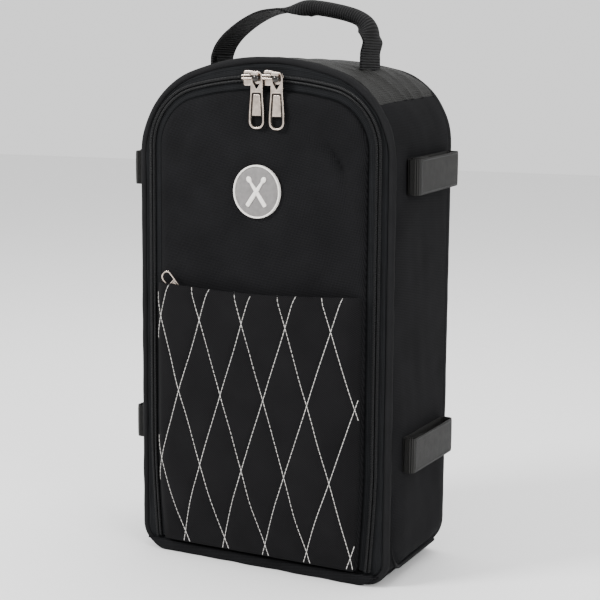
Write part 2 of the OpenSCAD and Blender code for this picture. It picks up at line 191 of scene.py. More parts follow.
def normals(path, closed=True):
    """Unit normals on a path's right-hand side, which is outward where it runs anticlockwise."""
    step = unit(np.roll(path, -1, 0) - np.roll(path, 1, 0) if closed else np.gradient(path, axis=0))
    return np.stack([step[:, 1], -step[:, 0]], 1)


def lengths(path):
    """Distance along a path at each of its points."""
    return np.concatenate([[0], np.cumsum(np.linalg.norm(np.diff(path, axis=0), axis=1))])


def resample(path, pitch):
    """Points along an open path, evenly spaced by about pitch."""
    s = lengths(path)
    at = np.linspace(0, s[-1], max(int(round(s[-1] / pitch)), 2) + 1)
    return np.stack([np.interp(at, s, column) for column in path.T], 1)


# ---- Meshes -------------------------------------------------------------------------

def add_object(name, data):
    made = bpy.data.objects.new(name, data)
    bpy.context.scene.collection.objects.link(made)
    return made


def finished(name, bm, mesh, sharp):
    """Object from a bmesh, with its normals outward and its sharp edges marked."""
    bmesh.ops.recalc_face_normals(bm, faces=bm.faces)
    bm.to_mesh(mesh)
    bm.free()
    mesh.shade_smooth()
    mesh.set_sharp_from_angle(angle=math.radians(sharp))
    return add_object(name, mesh)


def solid(name, spots, faces, cloth, sharp=50):
    """Closed piece from points and faces. cloth gives each point's place on its flat fabric."""
    mesh = bpy.data.meshes.new(name)
    mesh.from_pydata((np.asarray(spots) * MM).tolist(), [], [list(map(int, f)) for f in faces])
    at = mesh.attributes.new("cloth", "FLOAT_VECTOR", "POINT")
    flat = np.zeros((len(spots), 3), np.float32)
    flat[:, :2] = np.asarray(cloth) * MM
    at.data.foreach_set("vector", flat.ravel())
    bm = bmesh.new()
    bm.from_mesh(mesh)
    bmesh.ops.remove_doubles(bm, verts=bm.verts, dist=2e-6)
    return finished(name, bm, mesh, sharp)


def quads(rows, columns, wrap_rows=False, wrap_columns=False):
    """Faces of a grid of points, numbered row by row."""
    i = np.arange(rows if wrap_rows else rows - 1)[:, None]
    j = np.arange(columns if wrap_columns else columns - 1)[None, :]
    i2, j2 = (i + 1) % rows, (j + 1) % columns
    corners = [i * columns + j, i2 * columns + j, i2 * columns + j2, i * columns + j2]
    return np.stack(np.broadcast_arrays(*corners), -1).reshape(-1, 4)


def between(name, outer, inner, cloth, wrap=False, sharp=50, spine=False):
    """Closed solid between two grids of the same size; wrap joins the last row to the first.

    With spine, the last column of each grid already closes on itself and gets no edge strip.
    """
    rows, columns = outer.shape[:2]
    number = np.arange(rows * columns).reshape(rows, columns)
    skin = quads(rows, columns, wrap)
    far = rows * columns
    faces = [skin, skin[:, ::-1] + far]
    for edge in (number[:, 0],) if spine else (number[:, 0], number[:, -1][::-1]):
        pair = np.stack([edge, np.roll(edge, -1)], 1)
        pair = pair if wrap else pair[:-1]
        faces.append(np.concatenate([pair[:, ::-1], pair + far], 1))
    if not wrap:
        for edge in (number[0, ::-1], number[-1]):
            pair = np.stack([edge[:-1], edge[1:]], 1)
            faces.append(np.concatenate([pair[:, ::-1], pair + far], 1))
    spots = np.concatenate([outer.reshape(-1, 3), inner.reshape(-1, 3)])
    cloth = np.concatenate([cloth.reshape(-1, 2)] * 2)
    return solid(name, spots, np.concatenate(faces), cloth, sharp)


def tube(name, rings, cloth=None, closed=False, sharp=50):
    """Closed solid through rings of points, capped unless it is closed on itself.

    Without cloth, the fabric lies as it is seen from the front.
    """
    cloth = rings[..., ::2] if cloth is None else cloth
    rows, columns = rings.shape[:2]
    faces = quads(rows, columns, closed, True).tolist()
    if not closed:
        faces.append(list(range(columns)))
        faces.append(list(range((rows - 1) * columns, rows * columns))[::-1])
    return solid(name, rings.reshape(-1, 3), faces, cloth.reshape(-1, 2), sharp)


def pads(name, outline, side_a, side_b):
    """Pillow that fills an outline. side_a and side_b give Y from x, z and the distance to its edge."""
    low, high = outline[:, 1].min(), outline[:, 1].max()
    reach = outline[:, 0].max()
    spine = np.stack([outline[:, 0] * 0, np.clip(outline[:, 1], low + reach, high - reach)], 1)
    across = np.abs(((outline - spine) * normals(outline)).sum(1))
    near = np.array([0, 0.35, 0.8, 1.5, 2.4, 3.6, 5.2, 7.2, 9.6]) / reach
    t = np.concatenate([near, np.linspace(12.5 / reach, 1, 34)])
    flat = mix(outline, spine, t)
    edge = across[:, None] * t
    x, z = flat[..., 0], flat[..., 1]
    a, b = points(x, side_a(x, z, edge), z), points(x, side_b(x, z, edge), z)
    return between(name, a, b, flat, wrap=True, spine=True)


def flat_at(y):
    """Side of a pillow that lies flat at one Y."""
    return lambda x, z, edge: y


def strands(name, starts, ends, radius, up=(0, -1, 0), belly=0.0, sides=6):
    """Many short rounded threads from starts to ends, which rise towards up by belly in their middle."""
    starts, ends = np.asarray(starts, float), np.asarray(ends, float)
    way = ends - starts
    length = np.linalg.norm(way, axis=1)
    way /= length[:, None]
    side = unit(np.cross(way, up))
    up = np.cross(side, way)
    t = np.array([0.0, 0.12, 0.5, 0.88, 1.0])
    fat = np.array([0.45, 0.9, 1.0, 0.9, 0.45]) * radius
    a = around(sides)
    rise = belly * np.sin(np.pi * t)
    centre = starts[:, None] + way[:, None] * (t[None, :, None] * length[:, None, None])
    centre = centre + up[:, None] * rise[None, :, None]
    ring = side[:, None, None] * np.cos(a)[:, None] + up[:, None, None] * np.sin(a)[:, None]
    spots = centre[:, :, None] + ring * fat[:, None, None]
    many, size = len(starts), len(t) * sides
    one = quads(len(t), sides, False, True)
    faces = (one[None] + np.arange(many)[:, None, None] * size).reshape(-1, 4).tolist()
    for first in range(0, many * size, size):
        faces.append(list(range(first, first + sides)))
        faces.append(list(range(first + size - sides, first + size))[::-1])
    cloth = np.zeros((many * size, 2))
    cloth[:, 0] = np.repeat(np.arange(many) * 1.7, size)
    return solid(name, spots.reshape(-1, 3), faces, cloth)


# ---- What each piece is -------------------------------------------------------------

def dress(piece, body, material, replaces=()):
    """Gives a piece its body, finish and the CAD nodes that it stands for."""
    for one in material if isinstance(material, tuple) else (material,):
        piece.data.materials.append(one)
    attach(piece, body)
    if replaces:
        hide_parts(*replaces)
    return piece


# ---- Materials ----------------------------------------------------------------------

def shade(name, colour, roughness, sheen=0.0, metallic=0.0, coat=0.0, specular=0.5):
    """Principled material with its node tree and shader."""
    material = bpy.data.materials.new(name)
    material.use_nodes = True
    tree = material.node_tree
    shader = tree.nodes["Principled BSDF"]
    shader.inputs["Base Color"].default_value = (*colour, 1)
    shader.inputs["Roughness"].default_value = roughness
    shader.inputs["Metallic"].default_value = metallic
    shader.inputs["Specular IOR Level"].default_value = specular
    shader.inputs["Sheen Weight"].default_value = sheen
    shader.inputs["Sheen Roughness"].default_value = 0.45
    shader.inputs["Coat Weight"].default_value = coat
    return material, tree, shader


def node(tree, kind, **settings):
    """Adds a shader node; settings that start with in_ are input values or links."""
    made = tree.nodes.new("ShaderNode" + kind)
    for key, value in settings.items():
        if not key.startswith("in_"):
            setattr(made, key, value)
    for key, value in settings.items():
        if key.startswith("in_"):
            key = key[3:]
            socket = made.inputs[int(key)] if key.isdigit() else made.inputs[key.replace("_", " ")]
            if isinstance(value, bpy.types.NodeSocket):
                tree.links.new(value, socket)
            else:
                socket.default_value = value
    return made


def maths(tree, operation, a, b=0.0):
    return node(tree, "Math", operation=operation, in_0=a, in_1=b).outputs[0]


def noise(tree, place, scale, detail):
    return node(tree, "TexNoise", in_Vector=place, in_Scale=scale, in_Detail=detail).outputs[0]


def wave(tree, distance, pitch):
    """Sine wave along a distance in metres; pitch is in millimetres."""
    return maths(tree, "SINE", maths(tree, "MULTIPLY", distance, TAU / (pitch * MM)))


def sum_of(tree, a, share_a, b, share_b):
    """Weighted sum of two values; a share of 1 leaves its value as it is."""
    pairs = ((a, share_a), (b, share_b))
    return maths(tree, "ADD", *(v if share == 1 else maths(tree, "MULTIPLY", v, share) for v, share in pairs))


def finish_shader(tree, shader, colour_by, colours, stops, rough_by, roughs, height, bump, depth):
    """Gives a shader its varied colour and roughness and its bump, whose depth is in millimetres."""
    ramp = node(tree, "ValToRGB", in_Fac=colour_by)
    for k, (colour, stop) in enumerate(zip(colours, stops)):
        ramp.color_ramp.elements[k].color = (*colour, 1)
        ramp.color_ramp.elements[k].position = stop
    rough = node(tree, "MapRange", in_0=rough_by, in_3=roughs[0], in_4=roughs[1])
    raised = node(tree, "Bump", in_Strength=bump, in_Distance=depth * MM, in_Height=height)
    for made, socket in ((ramp, "Base Color"), (rough, "Roughness"), (raised, "Normal")):
        tree.links.new(made.outputs[0], shader.inputs[socket])


def woven(name, dark, light, pitch, roughness, patch, slant=0.0, bump=0.5, sheen=0.0, rib=None,
          specular=0.3, depth=0.15):
    """Cloth of two crossing yarn sets, clouded in patches, with painted shade in the weave's hollows and
    painted highlights on its crests.

    pitch is (warp, weft) and patch the size of the clouds, in millimetres; rib adds ribs across the warp.
    """
    material, tree, shader = shade(name, light, roughness, sheen, specular=specular)
    place = node(tree, "Attribute", attribute_name="cloth").outputs["Vector"]
    turned = node(tree, "Mapping", in_Vector=place, in_Rotation=(0, 0, slant)).outputs[0]
    across, along = node(tree, "SeparateXYZ", in_0=turned).outputs[:2]
    weave = maths(tree, "MULTIPLY", wave(tree, across, pitch[0]), wave(tree, along, pitch[1]))
    height = sum_of(tree, weave, 0.35, noise(tree, place, 1400.0, 3.0), 1)
    if rib:
        height = sum_of(tree, height, 1, wave(tree, across, rib), 0.8)
    cloudy = noise(tree, place, 1000.0 / patch, 4.0)
    # Colour follows the weave's height as painted shade in its hollows and painted highlight on its crests,
    # mixed with real patchy tone
    finish_shader(tree, shader, sum_of(tree, height, 0.6, cloudy, 0.28), (dark, light), (0.24, 0.70),
                  cloudy, (roughness - 0.08, min(roughness + 0.1, 1)), height, bump, depth)
    return material


def metal(name, colour, roughness):
    """Plated metal with fine brushing, soft smudges and worn brighter spots."""
    material, tree, shader = shade(name, colour, roughness, metallic=1.0)
    place = node(tree, "TexCoord").outputs["Object"]
    stretched = node(tree, "Mapping", in_Vector=place, in_Scale=(1, 1, 0.08)).outputs[0]
    smudge = noise(tree, place, 160.0, 3.0)
    colours = tuple(c * 0.78 for c in colour), tuple(min(c * 1.15, 1) for c in colour)
    finish_shader(tree, shader, smudge, colours, (0.3, 0.75), smudge, (roughness - 0.07, roughness + 0.14),
                  noise(tree, stretched, 2600.0, 2.0), 0.25, 0.02)
    return material


def moulded(name, dark, light, roughness, scale, coat=0.0, bump=0.15, specular=0.5):
    """Enamel, plastic or thread with a fine grain and slight colour change."""
    material, tree, shader = shade(name, light, roughness, coat=coat, specular=specular)
    place = node(tree, "TexCoord").outputs["Object"]
    grain = noise(tree, place, scale, 4.0)
    finish_shader(tree, shader, grain, (dark, light), (0.3, 0.72), grain,
                  (roughness - 0.06, roughness + 0.08), noise(tree, place, scale * 9, 2.0), bump, 0.03)
    return material


canvas = woven("shell_canvas", (0.0008, 0.0008, 0.001), (0.0125, 0.0125, 0.0135), (1.9, 1.9), 0.9, 40,
               slant=0.6, bump=0.6, specular=0.06, depth=0.2)
jersey = woven("quilted_cloth", (0.0012, 0.0012, 0.0014), (0.0115, 0.0113, 0.012), (2.1, 1.6), 0.9, 34,
               specular=0.06)
nylon = woven("ballistic_nylon", (0.0002, 0.0002, 0.0002), (0.0138, 0.0138, 0.0123), (3.4, 3.4), 0.55, 12,
              slant=0.5, bump=1.0, specular=0.16, depth=0.7)
binding = woven("edge_binding_cloth", (0.0016, 0.0016, 0.0018), (0.0125, 0.0125, 0.0135), (1.6, 1.6), 0.78,
                22, bump=0.4, specular=0.1)
tape = woven("zipper_tape_cloth", (0.0012, 0.0013, 0.0015), (0.0125, 0.0132, 0.0145), (2.0, 2.0), 0.8, 18,
             slant=0.785, bump=0.6, specular=0.08)
webbing = woven("webbing_weave", (0.0004, 0.0004, 0.0004), (0.017, 0.0165, 0.0154), (2.6, 1.3), 0.52, 7,
                bump=1.0, rib=1.7, specular=0.2, depth=0.4)
strap = woven("handle_weave", (0.0006, 0.0006, 0.0007), (0.0095, 0.0095, 0.01), (2.6, 1.3), 0.62, 12,
              bump=1.0, rib=2.3, specular=0.12, depth=0.5)
lining_cloth = woven("lining_cloth", (0.028, 0.029, 0.031), (0.06, 0.061, 0.064), (0.6, 0.6), 0.7, 45,
                     bump=0.35, sheen=0.15)
coil_nylon = moulded("coil_nylon", (0.0016, 0.0016, 0.0018), (0.007, 0.0072, 0.0078), 0.4, 900.0,
                     specular=0.22)
nickel = metal("nickel_plate", (0.60, 0.51, 0.445), 0.22)
# Near-black nickel: painted shade on the sliders' recessed plates and posts and on the pulls' back plates
nickel_painted_shade = metal("nickel_with_painted_shade", (0.035, 0.031, 0.028), 0.4)
chrome = metal("dark_chrome", (0.055, 0.052, 0.05), 0.1)
grey_enamel = moulded("badge_grey", (0.125, 0.119, 0.117), (0.165, 0.157, 0.154), 0.5, 240.0, coat=0.1)
white_enamel = moulded("badge_white", (0.72, 0.69, 0.65), (0.82, 0.79, 0.75), 0.35, 240.0, coat=0.3)
white_thread = moulded("quilting_thread", (0.38, 0.37, 0.355), (0.66, 0.64, 0.615), 0.6, 1500.0, bump=0.4)
black_thread = moulded("seam_thread", (0.012, 0.012, 0.013), (0.045, 0.045, 0.046), 0.55, 1500.0, bump=0.4)


# ---- Case walls ---------------------------------------------------------------------

front_edge = arch(**FRONT)
whole = len(front_edge)
right_half = np.arange(FLOOR_N, whole // 2)
depths = np.linspace(0, 1, 44)
big_ripple, small_ripple = ripples(3, 85), ripples(5, 26)


def nearest(height):
    """Number of the point at a height on the right half of the front outline."""
    return FLOOR_N + int(np.argmin(np.abs(front_edge[right_half, 1] - height)))


def wall(picked, depth, inset, y1=Y_BIND):
    """Grid of the wall between the front outline and the back one, with its outward normals."""
    a, b = arch(**FRONT, inset=inset), arch(**BACK, inset=inset)
    flat = mix(a[picked], b[picked], depth)
    grid = points(flat[..., 0], Y_RIM + (y1 - Y_RIM) * depth, flat[..., 1])
    out = normals(a)[picked][:, None]
    return grid, points(out[..., 0], 0 * depth, out[..., 1])


def girth(grid, column):
    """Distance round the case along one column of a grid of its wall."""
    return lengths(grid[:, column][:, ::2])


def wall_cloth(grid):
    """Distance round the case and distance back, for the weave."""
    return points(girth(grid, 0)[:, None], grid[..., 1])


def padded_wall(name, picked, puff, material, replaces):
    """Padded stretch of the wall, swollen by puff from its points and their distance round the case."""
    outer, normal = wall(picked, depths, 0)
    inner, _ = wall(picked, depths, WALL - 0.1)
    outer = outer + normal * puff(outer, girth(outer, 20))[..., None]
    made = between(name, outer, inner, wall_cloth(outer))
    return dress(made, "case", material, replaces)


def ends_of(s, wide):
    """1 at either end of a stretch, falling to nothing a few times wide from it."""
    return (hump(s, 0, wide) + hump(s[-1] - s, 0, wide))[:, None]


FOOT_R, FOOT_Z = 26.0, 11.5             # rounding and height of the seam along the foot of the sides


def from_foot_seam(p):
    """How far inside the seam at the foot of a side a point of the wall lies."""
    u, v = FOOT_R - (p[..., 1] - Y_RIM), FOOT_R - (p[..., 2] - FOOT_Z)
    return FOOT_R - np.hypot(np.maximum(u, 0), np.maximum(v, 0)) - np.minimum(np.maximum(u, v), 0)


def side_puff(p, s):
    """Foam side: fullest near its foot, with soft creases and a ditch along the foot's seam."""
    v = depths[None, :]
    inside = from_foot_seam(p)
    crowned = 1.5 * (1 - (2 * v - 1) ** 6) - 0.7
    belly = 3.2 * hump(p[..., 2], 62, 46) * (1 - 0.35 * v)
    creases = 0.55 * big_ripple(p) + 0.18 * small_ripple(p)
    ditch = 2.4 * hump(inside, 3.2, 1.7) + 0.6 * (inside < 0)
    padded = crowned + belly * smooth(0, 22, inside) + creases * (1 - (2 * v - 1) ** 8)
    return padded - 0.9 * ends_of(s, 2.6) - ditch * smooth(120, 60, p[..., 2])


def top_puff(p, s):
    """Gathered nylon: long ridges that run over the shoulders between the handle and the side seams."""
    away = np.abs(s - s[-1] / 2)[:, None]
    ridge_on = hump(away, 95, 40)
    v = depths[None, :] * (Y_BIND - Y_RIM)
    drift = 0.10 * (away - 95) + 2.5 * np.sin(away / 17)
    out = 0.9 * (1 - (2 * depths[None, :] - 1) ** 6) - 0.5
    for at, tall, wide in ((24, 1.5, 3.2), (45, 2.1, 3.8), (66, 1.7, 3.0), (88, 1.3, 3.6)):
        shift = v - at - drift * (1 if at < 60 else -0.6)
        out = out + ridge_on * tall * hump(shift, 0, wide)
        out = out - ridge_on * 0.6 * hump(shift, 1.9 * wide, wide)
    return out + 0.3 * small_ripple(p) + 0.4 * big_ripple(p) - 0.6 * ends_of(s, 3)


def base_puff(p, s):
    """Stiff base, nearly flat."""
    return -0.25 + 0.2 * small_ripple(p) * smooth(0, 12, s)[:, None] * smooth(0, 12, s[-1] - s)[:, None]


boot_i, seam_i = nearest(BOOT_H), nearest(SEAM_Z)
padded_wall("side_right", np.arange(boot_i, seam_i + 1), side_puff, canvas,
            ("gusset_right", "foam_right"))
padded_wall("side_left", np.arange(whole - seam_i, whole - boot_i + 1), side_puff, canvas,
            ("gusset_left", "foam_left"))
padded_wall("crown_patch", np.arange(seam_i, whole - seam_i + 1), top_puff, nylon,
            ("top_gusset", "foam_top"))
padded_wall("base_tray", np.arange(-boot_i, boot_i + 1) % whole, base_puff, canvas,
            ("base_panel", "base_board"))


def base_front_edge():
    """Turned-up front edge of the base, below the lid; its ends rise with the case's lower corners."""
    half, level, rise_r = 117, 98, 20
    ends = np.linspace(level, half, 16)
    x = np.concatenate([-ends[::-1], np.linspace(3 - level, level - 3, 90), ends])
    low = rise_r - np.sqrt(rise_r ** 2 - np.maximum(np.abs(x) - level, 0) ** 2) + 0.2
    low = np.minimum(low, BOOT_H - 1.5)
    c, s = blunt(np.cos(around(28)), 0.55), blunt(np.sin(around(28)), 0.55)
    y = (Y_BOOT + Y_TAPE) / 2 + (Y_TAPE - Y_BOOT) / 2 * c
    z = ((low + BOOT_H) / 2)[:, None] + np.maximum((BOOT_H - low) / 2 - 0.1, 0.1)[:, None] * s
    rings = points(x[:, None], y, z)
    rings[..., 1] += 0.5 * small_ripple(rings) * (c < 0)
    dress(tube("base_front_edge", rings), "case", canvas)


base_front_edge()


# ---- Back, edges and linings --------------------------------------------------------

back_ripple, wander = ripples(11, 120), ripples(17, 30)


def back_outer(x, z, edge):
    """Y of the padded back's outer face."""
    rippled = 0.5 * back_ripple(points(x, 0, z)) * smooth(0, 40, edge)
    return Y_BACK - 2.6 + 2.3 * swell(edge / 12) + 1.6 * (1 - np.exp(-edge / 45)) + rippled


def edging(name, path, y, half_n, half_y, power, shake, replaces):
    """Corded or bound edge round the case, a little uneven; half_n and half_y are its half sizes."""
    a = around(14)
    grow = 1 + shake * wander(points(path[:, 0], 0, path[:, 1]))[:, None]
    swollen = half_n * grow[..., None] * blunt(np.cos(a), 2 / power)[:, None]
    flat = path[:, None] + normals(path)[:, None] * swollen
    rings = points(flat[..., 0], y + half_y * grow * blunt(np.sin(a), 2 / power), flat[..., 1])
    made = tube(name, rings, points(lengths(path)[:, None], a * 3), closed=True)
    dress(made, "case", binding, replaces)


dress(pads("back_pad", arch(**BACK, inset=4.5), back_outer, flat_at(Y_IN_BACK + LINING + 0.05)),
      "case", canvas, ("back_panel", "back_foam"))
edging("back_edge_binding", arch(**BACK, inset=3.0), (Y_BIND + Y_BACK) / 2, 3.1, 3.2, 3.0, 0.04,
       ("back_binding",))
edging("rim_piping", arch(**FRONT, inset=PIPING / 2), Y_TAPE + PIPING / 2, PIPING / 2 + 0.15,
       PIPING / 2 + 0.1, 2.0, 0.05, ("front_piping",))


def foot_seam(side, mirror):
    """Rolled seam along the foot of a side: down beside the piping, round the corner and back."""
    a = np.linspace(0, math.pi / 2, 22)
    back_run = np.linspace(FOOT_R + 2, Y_BIND - Y_RIM - 1, 50)
    y = np.concatenate([FOOT_R * (1 - np.cos(a)), back_run]) + Y_RIM + 0.4
    z = np.concatenate([FOOT_Z + FOOT_R * (1 - np.sin(a)), np.full(50, FOOT_Z)])
    surface, _ = wall(right_half, depths, -0.4)
    columns = np.stack([np.interp(z, surface[:, j, 2], surface[:, j, 0]) for j in range(len(depths))], 1)
    at = np.clip((y - Y_RIM) / (Y_BIND - Y_RIM), 0, 1)
    x = np.array([np.interp(t, depths, row) for t, row in zip(at, columns)])
    path = np.stack([mirror * x, y, z], 1)
    radius = 0.4 + 1.5 * smooth(0, 16, y - Y_RIM)
    way = unit(np.gradient(path, axis=0))
    across = unit(np.cross(way, (1.0, 0.0, 0.0)))
    out = np.cross(across, way)
    turns = around(10)
    round_off = across[:, None] * np.cos(turns)[:, None] + out[:, None] * np.sin(turns)[:, None]
    cloth = points(lengths(path)[:, None], 3 * turns)
    made = tube("base_seam_" + side, path[:, None] + radius[:, None, None] * round_off, cloth)
    dress(made, "case", binding)


foot_seam("right", 1)
foot_seam("left", -1)


def linings():
    """Lining round the walls, and lining of the back."""
    steps = np.linspace(0, 1, 24)
    grid_out, _ = wall(np.arange(whole), steps, WALL, Y_IN_BACK)
    grid_in, _ = wall(np.arange(whole), steps, WALL + LINING, Y_IN_BACK)
    made = dress(between("lining_walls", grid_out, grid_in, wall_cloth(grid_out), wrap=True),
                 "case", lining_cloth, ("wall_lining",))
    outline = arch(**BACK, inset=WALL)
    made = dress(pads("lining_back", outline, flat_at(Y_IN_BACK + LINING), flat_at(Y_IN_BACK)),
                 "case", lining_cloth, ("back_lining",))


linings()


# ---- Lid, main zipper ---------------------------------------------------------------

LEAN_H, LEAN_SHARE = 100, 0.052         # height that draws in at the front's foot, and by how much
TAPE_T = 1.0


def lean(grid):
    """Draws the front's lower end in towards the middle, as the unfilled bag does."""
    pulled = np.clip((LEAN_H - grid[..., -1]) / LEAN_H, 0, 1) ** 1.4
    grid = grid.copy()
    grid[..., 0] *= 1 - LEAN_SHARE * pulled
    return grid


def folds(x, z):
    """Long shallow creases in the lid's cloth, strongest towards its upper right corner."""
    out = 0
    for px, pz, angle, length, wide, tall in (
            (70, 370, -0.95, 34, 3.4, 3.2), (51, 385, -0.72, 28, 3.6, 2.2), (84, 338, -1.3, 38, 3.6, 2.2),
            (-72, 384, 1.0, 26, 6, 1.3), (58, 310, -1.15, 44, 9, 1.1), (-56, 318, 1.3, 46, 10, 0.9),
            (24, 280, 0.25, 60, 8, 0.9), (-34, 268, -0.15, 50, 7, 0.9), (34, 408, -0.3, 24, 4, 0.9)):
        along = (x - px) * math.cos(angle) + (z - pz) * math.sin(angle)
        across = -(x - px) * math.sin(angle) + (z - pz) * math.cos(angle)
        out = out + tall * hump(along, 0, length) * hump(across, 0, wide)
    return out


lid_ripple, lid_fine, tape_ripple = ripples(23, 95), ripples(29, 30), ripples(31, 40)


def lid_face(x, z, edge):
    """Y of the lid's outer face."""
    p = points(x, 0, z)
    y = Y_LID + 5.4 - 5.0 * swell(edge / 9.5)
    soft = 0.8 * lid_ripple(p) + 0.22 * lid_fine(p) + folds(x, z) + 0.4
    return y + smooth(2, 25, edge) * np.maximum(soft, -0.5)


def lid_lining_y(x, z, edge):
    return Y_LID_IN + LINING - 0.4 * (1 - swell(edge / 3))


dress(pads("lid_pad", lean(arch(**LID, inset=0.3)), lid_face, flat_at(Y_LID_IN - 0.05)),
      "lid", canvas, ("lid_panel", "lid_foam"))
lid_outline = lean(arch(**LID, inset=0.6))
lid_inside = dress(pads("lid_inside", lid_outline, flat_at(Y_LID_IN), lid_lining_y),
                   "lid", lining_cloth, ("lid_lining",))


def outer_tape_y(t, flat):
    """Y across the case's half of the tape, from the chain at t = 0 to its hem beside the piping."""
    hem = 0.5 * hump(t, 0.97, 0.05) - 0.9 * hump(t, 0.80, 0.10)
    return Y_TAPE + 1.6 * t ** 1.3 + hem + 0.25 * tape_ripple(points(flat[..., 0], 0, flat[..., 1])) * smooth(
        0.35, 0.7, t)


def inner_tape_y(t, flat):
    """Y across the lid's half of the tape, from its hem at t = 0 to the chain."""
    return Y_TAPE + (0.7 * hump(t, 0.03, 0.05) - 0.5 * hump(t, 0.2, 0.09)) - 0.2 * (1 - t)


def tape_strip(name, inner, outer, y_of, body, replaces):
    """Flat tape between two paths that run side by side."""
    t = np.linspace(0, 1, 14)
    flat = mix(inner, outer, t)
    face = points(flat[..., 0], y_of(t[None, :], flat), flat[..., 1])
    cloth = points(lengths(inner)[:, None], np.linalg.norm(flat - inner[:, None], axis=-1))
    dress(between(name, face, face + (0, TAPE_T, 0), cloth), body, tape, replaces)


picked = np.arange(FLOOR_N + 1, whole - FLOOR_N)
chain_path = lean(arch(**LID, inset=-(CHAIN_OUT + 0.15)))[picked]
chain_path[:, 1] = np.maximum(chain_path[:, 1], LID_Z0 + 0.4)
tape_strip("tape_outer", chain_path, arch(**FRONT, inset=PIPING - 0.4)[picked], outer_tape_y, "case",
           ("case_zipper_tape",))
chain_path = lean(arch(**LID, inset=-(CHAIN_OUT - 0.15)))
picked = np.arange(FLOOR_N + 10, whole - FLOOR_N - 9)
picked = picked[chain_path[picked, 1] >= LID_Z0 + 0.4]
tape_strip("tape_inner", lean(arch(**LID))[picked], chain_path[picked], inner_tape_y, "lid",
           ("lid_zipper_tape",))


def coil(name, side, body, replaces, pitch=1.45):
    """One half of the coil: a row of slanted nylon turns that stand on the tape."""
    path = lean(arch(**LID, inset=-CHAIN_OUT))[FLOOR_N:whole - FLOOR_N + 1]
    path = resample(path[path[:, 1] >= LID_Z0 + 0.9], pitch)
    normal = normals(path, closed=False) * side
    step = unit(np.gradient(path, axis=0))
    shift = pitch * (0.25 if side > 0 else -0.25)
    near = path + normal * 0.35 + step * (shift - 0.3)
    far = path + normal * (CHAIN_HALF - 0.45) + step * (shift + 0.85)
    y = Y_TAPE - 0.75
    starts, ends = points(near[:, 0], y - 0.35, near[:, 1]), points(far[:, 0], y, far[:, 1])
    made = strands(name, starts, ends, 0.66, belly=0.75)
    dress(made, body, coil_nylon, replaces)


coil("coil_outer", 1, "case", ("case_zipper_coil",))
coil("coil_inner", -1, "lid", ("lid_zipper_coil",))


# ---- Quilted pocket -----------------------------------------------------------------

POCKET_LOW, POCKET_HIGH = limits("pocket_front")
POCKET_HALF = LID_HALF - 1.2
POCKET_DEEP = Y_LID - Y_POCKET
CROSS_X, CROSS_Z = 43.0, 131.0          # one whole quilting diamond
CROSS_RUN = math.hypot(CROSS_X, CROSS_Z)
CROSS_AT = (-9.0, 221.2)                # one crossing of the stitch lines
ROLL = 1.5                              # radius of the rolled mouth, and thickness of the cloth below it
STITCH, STITCH_STEP = 3.3, 3.75


def mouth(x):
    """Height of the pocket's rolled mouth, which sags between the side seams."""
    return POCKET_HIGH[2] - 3.2 * (1 - (np.asarray(x) / POCKET_HALF) ** 2) ** 2


def side_fall(x):
    """How far the pocket stands out: 1 in the middle, 0 at its side seams, falling softer on the right."""
    out = np.abs(x) / POCKET_HALF
    return np.where(x < 0, np.maximum(1 - out ** 11, 0) ** 0.45, np.maximum(1 - out ** 5.5, 0) ** 0.62)


# Distance along the cloth from the middle of the pocket, which runs down towards its side seams
across_x = np.linspace(-POCKET_HALF, POCKET_HALF, 801)
across_cloth = lengths(np.stack([across_x, -POCKET_DEEP * 0.8 * side_fall(across_x)], 1))
across_cloth -= across_cloth[400]


def quilt(x, z):
    """Height of the quilting above its stitch lines."""
    x = np.interp(x, across_x, across_cloth)
    rise = 1.9
    for way in (1, -1):
        count = (x - CROSS_AT[0]) / CROSS_X - way * (z - CROSS_AT[1]) / CROSS_Z
        away = np.abs(count - np.round(count)) * CROSS_X * CROSS_Z / CROSS_RUN
        rise = rise * (1 - np.exp(-away / 3.6))
    return rise


pocket_ripple = ripples(41, 60)


def pocket_face(x, z):
    """Y of the pocket's outer surface."""
    h = z - POCKET_LOW[2]
    up = 0.34 * swell(h / 4) + 0.66 * smooth(-8, 58, h)
    rim = np.clip((z - mouth(x) + 9) / 9, 0, 1)
    up = up * (1 - 0.34 * (1 - np.sqrt(1 - 0.96 * rim ** 2)) / 0.8)
    soft = quilt(x, z) + 0.5 * pocket_ripple(points(x, 0, z))
    inside = smooth(0, 10, POCKET_HALF - np.abs(x)) * smooth(0, 14, h)
    return Y_LID - (POCKET_DEEP - 0.9) * up * side_fall(x) - soft * inside


def pocket_quilt():
    """The pocket's cloth: up its face, over the rolled mouth and down behind."""
    full = math.pi / 2 * 0.995
    x = POCKET_HALF * np.sin(np.linspace(-1, 1, 161) * full) / math.sin(full)
    x = (0.55 * x + 0.45 * np.linspace(-POCKET_HALF, POCKET_HALF, 161))[:, None]
    t = np.linspace(0, 1, 150)
    top = mouth(x) - ROLL
    z = POCKET_LOW[2] + (top - POCKET_LOW[2]) * (0.85 * t + 0.15 * t ** 2)
    y = pocket_face(np.broadcast_to(x, z.shape), z)
    a = np.linspace(0, math.pi, 9)[1:-1]
    lip = np.minimum(ROLL, np.maximum((Y_LID - y[:, -1:]) / 2, 0.02))
    roll_y, roll_z = y[:, -1:] + lip * (1 - np.cos(a)), top + lip * np.sin(a)
    thick = ROLL + ROLL * smooth(-5, 0, z - top)
    behind = np.minimum(y + thick * np.minimum(t / 0.04, 1) ** 0.5, Y_LID - 0.02)
    round_y = np.concatenate([y, roll_y, behind[:, ::-1]], 1)
    rings = points(x, round_y, np.concatenate([z, roll_z, z[:, ::-1]], 1))
    made = tube("pocket_quilt", lean(rings), rings[..., ::2], sharp=80)
    dress(made, "lid", jersey, ("pocket_front",))


pocket_quilt()


